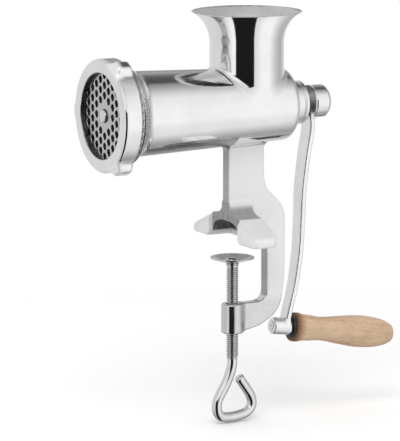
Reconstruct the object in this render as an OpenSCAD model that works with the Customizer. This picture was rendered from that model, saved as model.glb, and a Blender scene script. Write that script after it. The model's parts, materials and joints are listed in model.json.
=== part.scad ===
// Hand-cranked meat grinder with a table clamp.
// The origin is where the clamp screw's axis meets the underside of the upper jaw.
// +Z is up, the outlet points to -X and the crank is on the +X side.

/* [Barrel] */
// Height of the barrel axis above the table seat
axis_height = 101; // [92:1:115]
// Distance from the clamp screw's axis to the hopper's axis
hopper_x = 12; // [8:1:16]
// Distance from the hopper's axis to the barrel's mouth
mouth_reach = 116.7; // [108:0.1:125]
// Distance from the hopper's axis to the barrel's rear face
rear_reach = 33; // [31:0.5:38]
// Outside diameter behind the thread
barrel_front_d = 64; // [62:0.5:68]
// Outside diameter at the rear
barrel_rear_d = 55.2; // [54:0.2:60]
// Bore diameter behind the knife's recess
bore_front_d = 55; // [50:0.5:56]
// Bore diameter at the rear wall
bore_rear_d = 46; // [40:0.5:47]
// Thickness of the rear wall
rear_wall = 8; // [6:0.5:12]
// Rounding of the rear edge
rear_round = 6; // [3:0.5:9]
// Wall around the hole plate's seat, up to the thread's outside
seat_wall = 2.9; // [2.4:0.1:4]
// Length of the thread behind the mouth
thread_len = 12.7; // [11:0.1:16]
// Length of the cone from the thread to the barrel
shoulder_len = 7; // [4:0.5:10]

/* [Hopper] */
// Outside diameter at the foot
hopper_d = 56; // [50:0.5:56]
// Diameter of the rim
rim_d = 85.4; // [80:0.2:88]
// Width of the rim's flat edge
rim_lip = 2.4; // [1.6:0.1:3.2]
// Height of the rim above the barrel axis
hopper_height = 72; // [64:1:80]
// Height of the flared part
flare_h = 24; // [18:0.5:28]
// Angle that the flared wall turns through
flare_turn = 70; // [55:1:85]
// Wall thickness
hopper_wall = 3.4; // [2.5:0.1:4.5]

/* [Ring nut] */
// Outside diameter
ring_d = 85; // [82:0.5:88]
// Wall around the thread
ring_wall = 4.5; // [3:0.1:6]
// Length along the axis
ring_len = 14.5; // [13:0.5:18]
// How far the front lip covers the hole plate's edge
lip_cover = 3; // [2:0.5:5]
// Thickness of the front lip
ring_lip = 4; // [3:0.5:6]
// Bevel of the front edge
ring_bevel = 1.2; // [0.6:0.1:2]
// Number of grip lobes
lobe_count = 3; // [2:1:4]
// Width of a lobe
lobe_w = 12; // [8:0.5:16]
// How far a lobe stands out
lobe_out = 4.5; // [3:0.5:8]

/* [Cutting set] */
// Thickness of the hole plate
plate_t = 7; // [5:0.5:9]
// How far the plate stands out of the barrel's mouth
plate_proud = 3; // [2:0.5:4]
// Diameter of one hole
hole_d = 5.4; // [3:0.2:5.6]
// Distance between holes
hole_pitch = 7.6; // [6.6:0.2:10]
// Distance from the plate's edge to the outermost hole centres
hole_edge = 4.5; // [4:0.1:8]
// Diameter of the key that stops the plate
key_d = 4; // [3:0.2:5]
// Thickness of the knife
knife_t = 9; // [7:0.5:11]
// Distance from the plate's edge to the circle that the knife sweeps
knife_edge = 3; // [2:0.5:6]
// Diameter of the knife's hub
knife_hub_d = 22; // [19:0.5:24]
// Width of a knife arm
blade_w = 12; // [9:0.5:14]
// Width across the stud's square
stud_square = 10; // [9:0.5:12]
// Diameter of the stud's round pin
stud_pin_d = 10; // [8:0.2:10]

/* [Feed screw] */
// Axial distance of one turn of the flight
flight_pitch = 34; // [28:1:40]
// Thickness of the flight at its edge
flight_edge = 3; // [2:0.5:4]
// Thickness of the flight at its root
flight_root = 6; // [5:0.5:8]
// Diameter of the core
core_d = 24; // [20:0.5:28]
// Gap between flight and bore
flight_gap = 0.8; // [0.5:0.1:1.2]
// Diameter of the rear flange and its thrust washer
flange_d = 33; // [30:0.5:36]
// Thickness of the rear flange
flange_t = 8; // [5:0.5:10]
// Thickness of the thrust washer
thrust_t = 1.8; // [1:0.2:3]
// Diameter of the shank in its bearing
journal_d = 18; // [16:0.5:19]
// Width across the shank's square end
shank_square = 12.6; // [11:0.2:13]

/* [Rear bush] */
// Diameter of the collar
collar_d = 33; // [30:0.5:36]
// Diameter of the spigot in the rear wall
spigot_d = 27; // [25:0.5:29]
// Outside diameter of the bearing sleeve
sleeve_d = 22; // [21:0.5:23]

/* [Crank] */
// Distance from the hopper's rim to the crank's hub, along the barrel
rim_clear = 3.5; // [2.5:0.1:6]
// Diameter of the upper hub
eye_d = 25; // [22:0.5:28]
// Thickness of the upper hub
eye_t = 7.7; // [6:0.1:10]
// Thickness of the arm
arm_t = 4.2; // [3:0.2:6]
// Width of the arm at the hub
arm_w_top = 16; // [14:0.5:18]
// Width of the arm at the boss
arm_w_end = 11; // [9:0.5:12]
// How far the arm bows outwards below the hub
arm_bow = 3.4; // [1:0.2:4]
// Diameter of the lower boss
boss_d = 13; // [12:0.5:15]
// Height of the lower boss above the underside of the clamp's lower arm
boss_lift = 1; // [-4:0.5:2]
// Distance from the clamp's column to the middle of the lower boss
boss_gap = 1.75; // [0:0.25:6]
// Diameter of the cap nut
knob_d = 25; // [22:0.5:28]
// Length of the cap nut
knob_len = 14.8; // [12:0.2:18]
// Rounding of the cap nut
knob_round = 3; // [1:0.5:5]
// Diameter of the thread in the cap nut
knob_thread_d = 10; // [8:0.5:11]

/* [Handle] */
// Downward tilt of the handle
handle_tilt = 8.5; // [0:0.5:12]
// Length of the grip
grip_len = 88; // [80:1:110]
// Diameter of the grip at its inner end
grip_start_d = 21.6; // [20:0.2:24]
// Diameter of the grip at its waist
grip_waist_d = 18.2; // [17:0.2:20]
// Diameter of the grip at its belly
grip_belly_d = 24.6; // [22:0.2:28]
// Diameter of the spindle
spindle_d = 7; // [5:0.5:8]
// Diameter of the spindle's head
spindle_head_d = 11; // [10:0.5:12]
// Thickness of the spindle's head
spindle_head_t = 4; // [3:0.5:5]
// Depth of the spindle head's seat in the grip's end
head_depth = 6; // [5.5:0.5:9]
// Thickness of the washer at the grip
grip_washer_t = 1.2; // [0.8:0.1:2]
// Diameter of the washer at the grip
grip_washer_d = 17; // [16:0.5:19]

/* [Clamp frame] */
// Thickness of the neck, column and lower arm
frame_t = 9.5; // [8:0.5:12]
// Length of the neck along the barrel
neck_len = 31; // [28:0.5:34]
// How far the neck's middle lies ahead of the hopper's axis
neck_ahead = 2.5; // [0:0.5:4]
// Distance from the screw's axis to the column's inner face
throat_depth = 27.1; // [24:0.1:34]
// Depth of the column
column_d = 16.2; // [14:0.1:18]
// Opening between the upper jaw and the lower arm
throat_h = 49; // [44:0.5:60]
// Height of the lower arm at the screw
arm_h = 23; // [20:0.5:26]
// Rounding of the throat's two inner corners
throat_round = 9; // [5:0.5:10]
// Wall around the screw at the lower arm's end
boss_wall = 3.7; // [3:0.1:5]

/* [Jaw] */
// Distance from the middle to the end of a jaw wing
wing_end = 50; // [44:0.5:54]
// Half width of the arch between the two wings
jaw_gap = 21.9; // [19:0.1:24]
// Height of a wing at its root
wing_root_h = 18.5; // [16:0.5:21]
// Height of a wing at its end
wing_end_h = 7; // [5:0.5:9]
// Rounding of a wing's outer corners, seen from above
wing_round = 9; // [6:0.5:10]
// Small bevel at a wing's end
wing_bevel = 2; // [1:0.5:2.5]
// Distance from the screw's axis to the front of the wings
jaw_front = 8.4; // [7:0.2:10]
// Distance from the screw's axis to the back of the wings
jaw_back = 14; // [12:0.2:16]
// Height of the skirt where it meets the neck
skirt_h = 29; // [25:1:33]
// Height of the arch between the wings
arch_h = 15; // [12:0.5:16]
// Bevel at the foot of the arch
arch_bevel = 3.6; // [2:0.2:5]
// Thickness of the web behind the arch
arch_web = 3; // [2:0.5:5]

/* [Clamp screw] */
// Diameter of the thread
screw_d = 9.5; // [8:0.5:10.5]
// Distance from the table seat to the disc at rest
seat_gap = 13.4; // [8:0.2:20]
// Diameter of the pressure disc
disc_d = 33.6; // [30:0.2:38]
// Height of the pressure disc
disc_h = 6; // [5:0.5:7]
// Depth of the dish in the disc
dish = 2; // [1.5:0.1:2.5]
// Length of the thread below the disc
thread_below_disc = 72; // [65:1:78]
// Diameter of the bent rod
rod_d = 7.8; // [6:0.2:8]
// Straight rod between the thread and the loop
loop_lead = 10; // [8:0.5:14]
// Height of the loop from the thread to its lowest corner
loop_len = 46; // [42:0.5:50]
// How much higher the loop's other corner lies
loop_rise = 3; // [0:0.5:5]
// Reach of the loop to the screw's left
loop_left = 20; // [17:0.5:23]
// Reach of the loop to the screw's right
loop_right = 25.5; // [22:0.5:28]
// Distance from the screw's axis to the rod's cut end
loop_end = 7; // [6:0.5:9]
// Height from the thread down to the rod's cut end
loop_end_drop = 15; // [13:0.5:18]
// Radius of the rod's bends
bend_r = 9; // [7:0.5:10]
// Turn of the loop about the screw's axis
loop_turn = 8; // [-20:1:20]

/* [Fits] */
// Radial clearance of a shaft in its hole
run_fit = 0.05; // [0.02:0.01:0.08]
// Gap between faces that move past each other
face_gap = 0.3; // [0.2:0.05:0.4]
// Radial clearance of the hole plate and its key
plate_play = 0.1; // [0.05:0.05:0.2]

/* [Hidden] */
$fn = 64;

// How far a cutting solid runs past the face it opens.
cut = 1;

// Stations along the barrel axis, counted from the hopper's axis.
knife_room = 1;
mouth = -mouth_reach;
thread_back = mouth + thread_len;
cone_end = thread_back + shoulder_len;
plate_front = mouth - plate_proud;
plate_back = plate_front + plate_t;
knife_front = plate_back + face_gap;
knife_back = knife_front + knife_t;
recess_end = knife_back + knife_room;
ring_front = plate_front - ring_lip;
ring_back = ring_front + ring_len;
rear_in = rear_reach - rear_wall;
screw_back = rear_in - thrust_t - face_gap;
eye_front = rim_d / 2 + rim_clear;
eye_back = eye_front + eye_t;
eye_mid = (eye_front + eye_back) / 2;
collar_end = eye_front - face_gap;

// Sizes that several pieces share, from the ring nut inwards.
ring_thread_d = ring_d - 2 * ring_wall;
seat_r = ring_thread_d / 2 - seat_wall;
plate_d = 2 * (seat_r - plate_play);
ring_mouth_d = plate_d - 2 * lip_cover;
knife_d = plate_d - 2 * knife_edge;
hole_field_r = plate_d / 2 - hole_edge;
throat_r = hopper_d / 2 - hopper_wall;
stub_len = 10.8;
stud_tail = 20;
shank_tail = 40;
tail_d = journal_d - 4;
column_out = throat_depth + column_d;
arm_bottom = -throat_h - arm_h;

function bore_r(x) = lookup(x, [[recess_end, bore_front_d / 2], [rear_in, bore_rear_d / 2]]);

// Points of an arc in a plane.
function arc(centre, r, from, to, steps = 8) = [
    for (i = [0:steps])
        let (a = from + (to - from) * i / steps)
        centre + r * [cos(a), sin(a)]
];

// Smooth curve through a list of points.
function between(a, b, c, d, t) =
    let (
        slope = c - a,
        bend = 2 * a - 5 * b + 4 * c - d,
        swing = 3 * b - a - 3 * c + d
    )
    b + (slope * t + bend * t * t + swing * t * t * t) / 2;
function at(points, i) = points[max(0, min(len(points) - 1, i))];
function smooth(points, steps = 4) = concat(
    [for (i = [0:len(points) - 2]) for (k = [0:steps - 1])
        between(at(points, i - 1), points[i], points[i + 1], at(points, i + 2), k / steps)],
    [points[len(points) - 1]]
);

// Direction of a route at one of its points, and the unit vector to its left.
function heading(points, i) = at(points, i + 1) - at(points, i - 1);
function left(points, i) =
    let (h = heading(points, i))
    [-h[1], h[0]] / norm(h);

// Outline of a strip of thickness t along a route.
function band(points, t) = concat(
    [for (i = [0:len(points) - 1]) points[i] + left(points, i) * t / 2],
    [for (i = [len(points) - 1:-1:0]) points[i] - left(points, i) * t / 2]
);

// Places the barrel's own frame: origin where barrel axis and hopper axis cross.
module barrel_frame() translate([hopper_x, 0, axis_height]) children();

// Turns local +Z into +X along the barrel axis, at station x.
module along_x(x = 0) translate([x, 0, 0]) rotate([0, 90, 0]) children();

// A flat outline drawn in X and Z, with its thickness along Y.
module upright(t) rotate([90, 0, 0]) linear_extrude(t, center = true) children();

// A flat outline drawn in Y and Z, with its thickness along X from station x.
module crosswise(x, t) translate([x, 0, 0]) rotate([90, 0, 90]) linear_extrude(t) children();

// A cylinder along the barrel axis between two stations.
module rod_x(x0, x1, r) along_x(x0) cylinder(h = x1 - x0, r = r);

// A square bar along the barrel axis between two stations.
module bar_x(x0, x1, w) translate([x0, -w / 2, -w / 2]) cube([x1 - x0, w, w]);

module barrel_outside() {
    along_x() rotate_extrude() polygon(concat(
        [
            [0, mouth],
            [ring_thread_d / 2, mouth],
            [ring_thread_d / 2, thread_back],
            [barrel_front_d / 2, cone_end],
            [barrel_rear_d / 2, rear_reach - rear_round]
        ],
        arc([barrel_rear_d / 2 - rear_round, rear_reach - rear_round], rear_round, 0, 90, 6),
        [[0, rear_reach]]
    ));
}

// Stepped inside: seat of the plate, recess of the knife, tapered bore.
module barrel_inside() {
    along_x() rotate_extrude() polygon([
        [0, mouth - cut],
        [seat_r, mouth - cut],
        [seat_r, knife_front],
        [knife_d / 2 + knife_room, knife_front],
        [knife_d / 2 + knife_room, recess_end],
        [bore_front_d / 2, recess_end],
        [bore_rear_d / 2, rear_in],
        [0, rear_in]
    ]);
}

module barrel() color("gainsboro") barrel_frame() difference() {
    barrel_outside();
    barrel_inside();
    rod_x(rear_in - cut, rear_reach + cut, spigot_d / 2);
    cylinder(h = hopper_height, r = throat_r);
    key_pin();
}

// The key stands across the seat's wall at the top, just inside the mouth.
key_land = 0.8;
key_bite = 2;
key_in = plate_d / 2 - key_bite;
key_out = ring_thread_d / 2 - key_land;
key_x = mouth + key_land + key_d / 2;
module key_pin() translate([key_x, 0, key_in]) cylinder(h = key_out - key_in, d = key_d);

module plate_key() color("dimgray") barrel_frame() key_pin();

// Trumpet outline: part of an ellipse from the straight foot out to the rim.
function flare(r0, r1, z0, z1, steps = 10) = [
    for (i = [0:steps])
        let (
            a = flare_turn * i / steps,
            out = (1 - cos(a)) / (1 - cos(flare_turn)),
            up = sin(a) / sin(flare_turn)
        )
        [r0 + (r1 - r0) * out, z0 + (z1 - z0) * up]
];

module hopper() color("gainsboro") barrel_frame() {
    foot_r = hopper_d / 2;
    flare_z = hopper_height - flare_h;
    outside = flare(foot_r, rim_d / 2, flare_z, hopper_height);
    inside = flare(throat_r, rim_d / 2 - rim_lip, flare_z, hopper_height);
    difference() {
        rotate_extrude() polygon(concat(
            [[throat_r, 0], [foot_r, 0]],
            outside,
            [for (i = [len(inside) - 1:-1:0]) inside[i]]
        ));
        barrel_outside();
    }
}

// Outline of the clamp frame seen along Y.
neck_front = hopper_x - neck_ahead - neck_len / 2;
module frame_outline() {
    neck_back = neck_front + neck_len;
    neck_top = axis_height - barrel_rear_d / 4;
    heel = 4.4;
    polygon(concat(
        [
            [neck_front, neck_top],
            [neck_front, 0]
        ],
        arc([throat_depth - throat_round, -throat_round], throat_round, 90, 0),
        arc([throat_depth - throat_round, throat_round - throat_h], throat_round, 0, -90),
        [
            [0, -throat_h],
            [0, arm_bottom],
            [throat_depth - heel, arm_bottom + heel],
            [column_out - heel, arm_bottom + arm_h * 2 / 3],
            [column_out, -throat_h * 2 / 3],
            [column_out, wing_root_h],
            [column_out - heel, skirt_h - heel / 2],
            [neck_back + heel / 2, skirt_h + 2 * heel],
            [neck_back, skirt_h + 4 * heel],
            [neck_back, neck_top]
        ]
    ));
}

// A closed outline from the half on the +Y side, listed from bottom to top.
function mirrored(half) = concat(
    half,
    [for (i = [len(half) - 1:-1:0]) [-half[i][0], half[i][1]]]
);

// A quarter of an ellipse between two points, with the bend towards the corner [p[0], q[1]].
function quarter(p, q, steps = 8) = [
    for (i = [0:steps])
        let (a = 90 * i / steps)
        [q[0] + (p[0] - q[0]) * cos(a), p[1] + (q[1] - p[1]) * sin(a)]
];

// The skirt spreads from the neck down to the roots of the wings.
module jaw_skirt() {
    flank = quarter([frame_t / 2, skirt_h], [jaw_gap, wing_root_h]);
    half = concat([[jaw_gap, 0]], [for (i = [len(flank) - 1:-1:0]) flank[i]]);
    crosswise(neck_front, jaw_back - neck_front) polygon(mirrored(half));
}

// One wing of the upper jaw: its top slopes down to a rounded end.
module jaw_wing() intersection() {
    crosswise(-jaw_front, jaw_front + jaw_back) polygon([
        [jaw_gap, 0],
        [wing_end - wing_bevel, 0],
        [wing_end, wing_bevel],
        [wing_end, wing_end_h - wing_bevel],
        [wing_end - wing_bevel, wing_end_h],
        [jaw_gap, wing_root_h]
    ]);
    linear_extrude(wing_root_h) polygon(concat(
        [[-jaw_front, jaw_gap], [jaw_back, jaw_gap]],
        arc([jaw_back - wing_round, wing_end - wing_round], wing_round, 0, 90, 6),
        arc([wing_round - jaw_front, wing_end - wing_round], wing_round, 90, 180, 6)
    ));
}

// Arch between the wings, open at the front and below, with a flat crown.
module jaw_arch() {
    crown = 1;
    half = concat(
        [[jaw_gap + arch_bevel + cut, -cut], [jaw_gap, arch_bevel]],
        quarter([jaw_gap - arch_bevel / 2, 2 * arch_bevel], [crown, arch_h])
    );
    crosswise(-jaw_front - cut, cut + jaw_front + jaw_back - arch_web) polygon(mirrored(half));
}

module clamp_frame() color("lightgray") difference() {
    union() {
        upright(frame_t) frame_outline();
        jaw_skirt();
        jaw_wing();
        mirror([0, 1, 0]) jaw_wing();
        translate([0, 0, arm_bottom]) cylinder(h = arm_h, d = screw_d + 2 * boss_wall);
    }
    jaw_arch();
    barrel_frame() barrel_outside();
    translate([0, 0, arm_bottom - cut]) cylinder(h = arm_h + 2 * cut, r = screw_d / 2 + run_fit);
}

module rear_bush() color("silver") barrel_frame() difference() {
    union() {
        rod_x(rear_in, rear_reach, spigot_d / 2);
        rod_x(rear_reach, collar_end, collar_d / 2);
    }
    rod_x(rear_in - cut, collar_end + cut, sleeve_d / 2);
}

module bearing_sleeve() color("white") barrel_frame() difference() {
    rod_x(rear_in, collar_end, sleeve_d / 2);
    rod_x(rear_in - cut, collar_end + cut, journal_d / 2 + run_fit);
}

module thrust_washer() color("white") barrel_frame() difference() {
    rod_x(rear_in - thrust_t, rear_in, flange_d / 2);
    rod_x(rear_in - thrust_t - cut, rear_in + cut, journal_d / 2 + run_fit);
}

// Left-hand flight: each section is a trapezium from the core to the tapered bore.
module flight() {
    steps = 20;
    x0 = knife_back + flight_root / 2;
    x1 = screw_back - flange_t - flight_root / 2;
    root_r = core_d / 2 - 1;
    count = ceil((x1 - x0) / flight_pitch * steps);
    corners = [for (i = [0:count])
        let (
            x = x0 + (x1 - x0) * i / count,
            a = -360 * (x - x0) / flight_pitch,
            out = [cos(a), sin(a)],
            root = out * root_r,
            edge = out * (bore_r(x) - flight_gap)
        )
        each [
            [root[0], root[1], x - flight_root / 2],
            [edge[0], edge[1], x - flight_edge / 2],
            [edge[0], edge[1], x + flight_edge / 2],
            [root[0], root[1], x + flight_root / 2]
        ]];
    walls = [for (i = [0:count - 1]) for (k = [0:3])
        let (p = 4 * i + k, q = 4 * i + (k + 1) % 4)
        each [[p, p + 4, q], [q, p + 4, q + 4]]];
    last = 4 * count;
    ends = [[0, 1, 2], [0, 2, 3], [last + 2, last + 1, last], [last + 3, last + 2, last]];
    along_x() polyhedron(corners, concat(walls, ends));
}

module feed_screw() color("silver") barrel_frame() difference() {
    union() {
        rod_x(knife_back, screw_back, core_d / 2);
        rod_x(screw_back - flange_t, screw_back, flange_d / 2);
        flight();
    }
    rod_x(knife_back - cut, knife_back + stud_tail, stud_square / 2);
    rod_x(screw_back - shank_tail, screw_back + cut, tail_d / 2);
}

module drive_shank() color("gray") barrel_frame() {
    rod_x(screw_back - shank_tail, screw_back, tail_d / 2);
    rod_x(screw_back, eye_front, journal_d / 2);
    bar_x(eye_front, eye_back, shank_square);
    rod_x(eye_back, eye_back + stub_len, knob_thread_d / 2);
}

module knife_stud() color("gray") barrel_frame() {
    pin_back = 1;
    rod_x(knife_back, knife_back + stud_tail, stud_square / 2);
    bar_x(knife_front, knife_back, stud_square);
    rod_x(plate_front + pin_back, knife_front, stud_pin_d / 2);
}

module knife() color("silver") barrel_frame() along_x(knife_front) linear_extrude(knife_t) difference() {
    tip = knife_d / 2;
    union() {
        circle(d = knife_hub_d);
        for (a = [0:90:270]) rotate(a) polygon([
            [0, -blade_w / 2],
            [tip - 1, -blade_w / 4],
            [tip, blade_w / 3],
            [0, blade_w / 2]
        ]);
    }
    square(stud_square, center = true);
}

// Centres of the plate's holes: a hexagonal field around a solid hub.
hub_r = hole_pitch * 1.1;
rows = ceil(hole_field_r / hole_pitch);
hole_centres = [
    for (column = [-rows:rows]) for (row = [-2 * rows:2 * rows])
        let (p = hole_pitch * [row + column / 2, column * sqrt(3) / 2])
        if (norm(p) > hub_r && norm(p) <= hole_field_r) p
];

module grinding_plate() color("darkgray") barrel_frame() along_x(plate_front) linear_extrude(plate_t) {
    slot_depth = key_bite + 1;
    difference() {
        circle(d = plate_d);
        circle(r = stud_pin_d / 2 + run_fit);
        translate([-plate_d / 2, 0]) square([2 * slot_depth, key_d + 4 * plate_play], center = true);
        for (p = hole_centres) translate(p) circle(d = hole_d);
    }
}

module ring_nut() color("gainsboro") barrel_frame() difference() {
    union() {
        along_x() rotate_extrude() polygon([
            [0, ring_front],
            [ring_d / 2 - ring_bevel, ring_front],
            [ring_d / 2, ring_front + ring_bevel],
            [ring_d / 2, ring_back],
            [0, ring_back]
        ]);
        for (i = [0:lobe_count - 1]) rotate([360 * i / lobe_count - 90, 0, 0])
            translate([ring_front, -lobe_w / 2, 0]) cube([ring_len, lobe_w, ring_d / 2 + lobe_out]);
    }
    rod_x(ring_front - cut, ring_back + cut, ring_mouth_d / 2);
    rod_x(plate_front, ring_back + cut, ring_thread_d / 2 + run_fit);
}

// Centre line of the crank arm from the hub down to the boss.
// A station gives a share of the reach, then the shares of the bow and of the sway to the boss.
crank_reach = axis_height - arm_bottom - boss_lift;
boss_x = column_out + boss_gap - hopper_x;
arm_stations = [
    [0, 0, 0], [0.1, 1, 0], [0.23, 0, 0], [0.38, 0, 0.19], [0.52, 0, 0.25], [0.66, 0, 0.33],
    [0.81, 0, 0.55], [0.93, 0, 0.85], [1, 0, 1]
];
arm_line = smooth([
    for (s = arm_stations)
        [eye_mid + s[1] * arm_bow + s[2] * (boss_x - eye_mid), -s[0] * crank_reach]
]);

// Stations along the handle, counted from the boss's middle.
boss_in = 11;
boss_out = 5;
grip_start = boss_out + grip_washer_t + face_gap;
grip_end = grip_start + grip_len;
head_start = grip_end - head_depth + face_gap;

// The handle's own frame: +Z runs outwards along the handle from the boss's middle.
module handle_frame() {
    barrel_frame() translate([boss_x, 0, -crank_reach]) rotate([0, 90 + handle_tilt, 0]) children();
}

// A cylinder along the handle between two stations.
module rod_h(z0, z1, r) translate([0, 0, z0]) cylinder(h = z1 - z0, r = r);

// The flat strip of the crank, bent in one plane and tapered in the other.
module arm_strip() intersection() {
    upright(2 * arm_w_top) polygon(band(arm_line, arm_t));
    crosswise(0, 2 * eye_back) polygon([
        [-arm_w_top / 2, -eye_d / 4],
        [arm_w_top / 2, -eye_d / 4],
        [arm_w_end / 2, -crank_reach],
        [-arm_w_end / 2, -crank_reach]
    ]);
}

module crank_arm() color("gainsboro") difference() {
    union() {
        barrel_frame() rod_x(eye_front, eye_back, eye_d / 2);
        barrel_frame() arm_strip();
        handle_frame() rod_h(-boss_in, boss_out, boss_d / 2);
    }
    barrel_frame() bar_x(eye_front - cut, eye_back + cut, shank_square);
    barrel_frame() rod_x(eye_back, eye_back + knob_len, knob_d / 2 + face_gap);
    handle_frame() rod_h(-boss_in - cut, boss_out + cut, spindle_d / 2);
}

module crank_knob() color("gainsboro") barrel_frame() along_x(eye_back) difference() {
    rotate_extrude() polygon(concat(
        [[0, 0], [knob_d / 2, 0]],
        arc([knob_d / 2 - knob_round, knob_len - knob_round], knob_round, 0, 90, 5),
        [[0, knob_len]]
    ));
    translate([0, 0, -cut]) cylinder(h = stub_len + cut, d = knob_thread_d);
}

module handle_spindle() color("gray") handle_frame() {
    rod_h(-boss_in, head_start, spindle_d / 2);
    rod_h(head_start, head_start + spindle_head_t, spindle_head_d / 2);
}

module grip_washer() color("dimgray") handle_frame() difference() {
    rod_h(boss_out, boss_out + grip_washer_t, grip_washer_d / 2);
    rod_h(boss_out - cut, boss_out + grip_washer_t + cut, spindle_d / 2);
}

// Turned grip: start, waist, belly and a rounded outer end around the spindle head's seat.
module handle_grip() color("burlywood") handle_frame() difference() {
    start_edge = 0.6;
    head_r = spindle_head_d / 2 + face_gap;
    head_wall = 1;
    outline = smooth([
        [grip_start_d / 2 - start_edge, 0],
        [grip_start_d / 2, 0.03 * grip_len],
        [grip_waist_d / 2, 0.3 * grip_len],
        [grip_belly_d / 2, 0.66 * grip_len],
        [(grip_belly_d / 2 + head_r + 3 * head_wall) / 2, 0.9 * grip_len],
        [head_r + head_wall, grip_len]
    ]);
    translate([0, 0, grip_start]) rotate_extrude() polygon(concat([[0, 0]], outline, [[0, grip_len]]));
    rod_h(grip_start - cut, grip_end + cut, spindle_d / 2 + run_fit);
    rod_h(grip_end - head_depth, grip_end + cut, head_r);
}

// Heights along the clamp screw.
disc_top = -seat_gap;
dish_floor = disc_top - dish;
disc_bottom = disc_top - disc_h;
thread_top = disc_bottom - face_gap;
thread_end = disc_bottom - thread_below_disc;

// The screw's neck in the disc, and the rivet head above it.
neck_step = 0.75;
neck_r = screw_d / 2 - neck_step;
rivet_r = screw_d / 2 + neck_step;
rivet_h = 1.2;

// Dished disc with a conical underside and a hole for the screw's neck.
module pressure_disc() color("darkgray") difference() {
    edge_t = 1.8;
    edge_w = 3;
    rotate_extrude() polygon([
        [0, disc_bottom],
        [rivet_r + neck_step, disc_bottom],
        [disc_d / 2, disc_top - edge_t],
        [disc_d / 2, disc_top],
        [disc_d / 2 - edge_w, disc_top],
        [rivet_r + 1, dish_floor],
        [0, dish_floor]
    ]);
    translate([0, 0, disc_bottom - cut]) cylinder(h = disc_h + 2 * cut, r = neck_r + run_fit);
}

// Route of a bent rod: straight legs joined by bends of radius r.
function corner(p, q, s, r, steps = 8) =
    let (
        a = (q - p) / norm(q - p),
        b = (s - q) / norm(s - q),
        turn = atan2(a[0] * b[1] - a[1] * b[0], a * b),
        start = q - a * r * tan(abs(turn) / 2),
        centre = start + sign(turn) * r * [-a[1], a[0]],
        from = atan2(start[1] - centre[1], start[0] - centre[0])
    )
    arc(centre, r, from, from + turn, steps);
function bent(points, r) = concat(
    [points[0]],
    [for (i = [1:len(points) - 2]) each corner(points[i - 1], points[i], points[i + 1], r)],
    [points[len(points) - 1]]
);

// A round rod swept along a route in the XZ plane.
module swept_rod(route, d, sides = 16) {
    last = len(route) - 1;
    corners = [for (i = [0:last]) for (k = [0:sides - 1])
        let (a = 360 * k / sides, p = route[i] + d / 2 * cos(a) * left(route, i))
        [p[0], d / 2 * sin(a), p[1]]];
    walls = [for (i = [0:last - 1]) for (k = [0:sides - 1])
        let (p = i * sides + k, q = i * sides + (k + 1) % sides)
        each [[p, q, p + sides], [q, q + sides, p + sides]]];
    polyhedron(corners, concat(
        walls,
        [[for (k = [sides - 1:-1:0]) k]],
        [[for (k = [0:sides - 1]) last * sides + k]]
    ));
}

// Corners of the loop below the thread, which the rod enters from inside the thread.
rod_root = 2;
loop_route = [
    [0, thread_end + rod_root],
    [0, thread_end - loop_lead],
    [-loop_left, thread_end - loop_len],
    [loop_right, thread_end - loop_len + loop_rise],
    [loop_end, thread_end - loop_end_drop]
];

module clamp_screw() color("darkgray") {
    translate([0, 0, dish_floor + face_gap]) cylinder(h = rivet_h, r1 = rivet_r, r2 = neck_r);
    translate([0, 0, thread_top]) cylinder(h = dish_floor + face_gap - thread_top, r = neck_r);
    translate([0, 0, thread_end]) cylinder(h = thread_top - thread_end, d = screw_d);
    rotate(loop_turn) swept_rod(bent(loop_route, bend_r), rod_d);
}

barrel();
hopper();
clamp_frame();
rear_bush();
bearing_sleeve();
thrust_washer();
plate_key();
feed_screw();
drive_shank();
knife_stud();
knife();
grinding_plate();
ring_nut();
crank_arm();
crank_knob();
handle_spindle();
grip_washer();
handle_grip();
pressure_disc();
clamp_screw();
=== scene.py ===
import itertools
import json
from math import atan2, cos, hypot, pi, radians, sin, sqrt

import bpy
import numpy as np
from mathutils import Matrix, Vector


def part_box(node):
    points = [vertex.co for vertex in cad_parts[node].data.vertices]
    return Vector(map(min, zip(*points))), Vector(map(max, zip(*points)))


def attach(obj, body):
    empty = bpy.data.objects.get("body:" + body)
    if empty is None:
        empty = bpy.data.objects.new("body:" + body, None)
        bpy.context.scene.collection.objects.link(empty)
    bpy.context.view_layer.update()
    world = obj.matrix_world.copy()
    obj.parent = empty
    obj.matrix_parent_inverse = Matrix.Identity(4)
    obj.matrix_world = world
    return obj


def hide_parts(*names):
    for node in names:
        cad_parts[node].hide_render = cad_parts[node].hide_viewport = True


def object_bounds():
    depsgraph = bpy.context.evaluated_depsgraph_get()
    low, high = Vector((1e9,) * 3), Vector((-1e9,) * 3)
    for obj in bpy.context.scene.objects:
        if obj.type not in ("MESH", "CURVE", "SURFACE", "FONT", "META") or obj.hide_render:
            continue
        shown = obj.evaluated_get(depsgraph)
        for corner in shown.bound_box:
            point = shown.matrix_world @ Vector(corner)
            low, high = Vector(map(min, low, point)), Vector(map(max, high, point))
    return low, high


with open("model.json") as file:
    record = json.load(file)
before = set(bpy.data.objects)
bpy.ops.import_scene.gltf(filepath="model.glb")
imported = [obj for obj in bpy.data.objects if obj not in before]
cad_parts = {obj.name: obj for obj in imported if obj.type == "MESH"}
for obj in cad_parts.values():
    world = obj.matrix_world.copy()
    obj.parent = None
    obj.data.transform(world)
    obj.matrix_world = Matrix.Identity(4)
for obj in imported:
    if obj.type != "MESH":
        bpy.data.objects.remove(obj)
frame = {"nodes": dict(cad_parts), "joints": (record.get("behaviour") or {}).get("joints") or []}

# The CAD box, kept before any piece is added.
cad_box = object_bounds()

# Shapes are worked out in millimetres in the part's frame and stored in metres.
MM = 0.001


def node_box(node):
    """Lowest and highest corner of a CAD node, in millimetres."""
    low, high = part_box(node)
    return np.array(low) / MM, np.array(high) / MM


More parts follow.
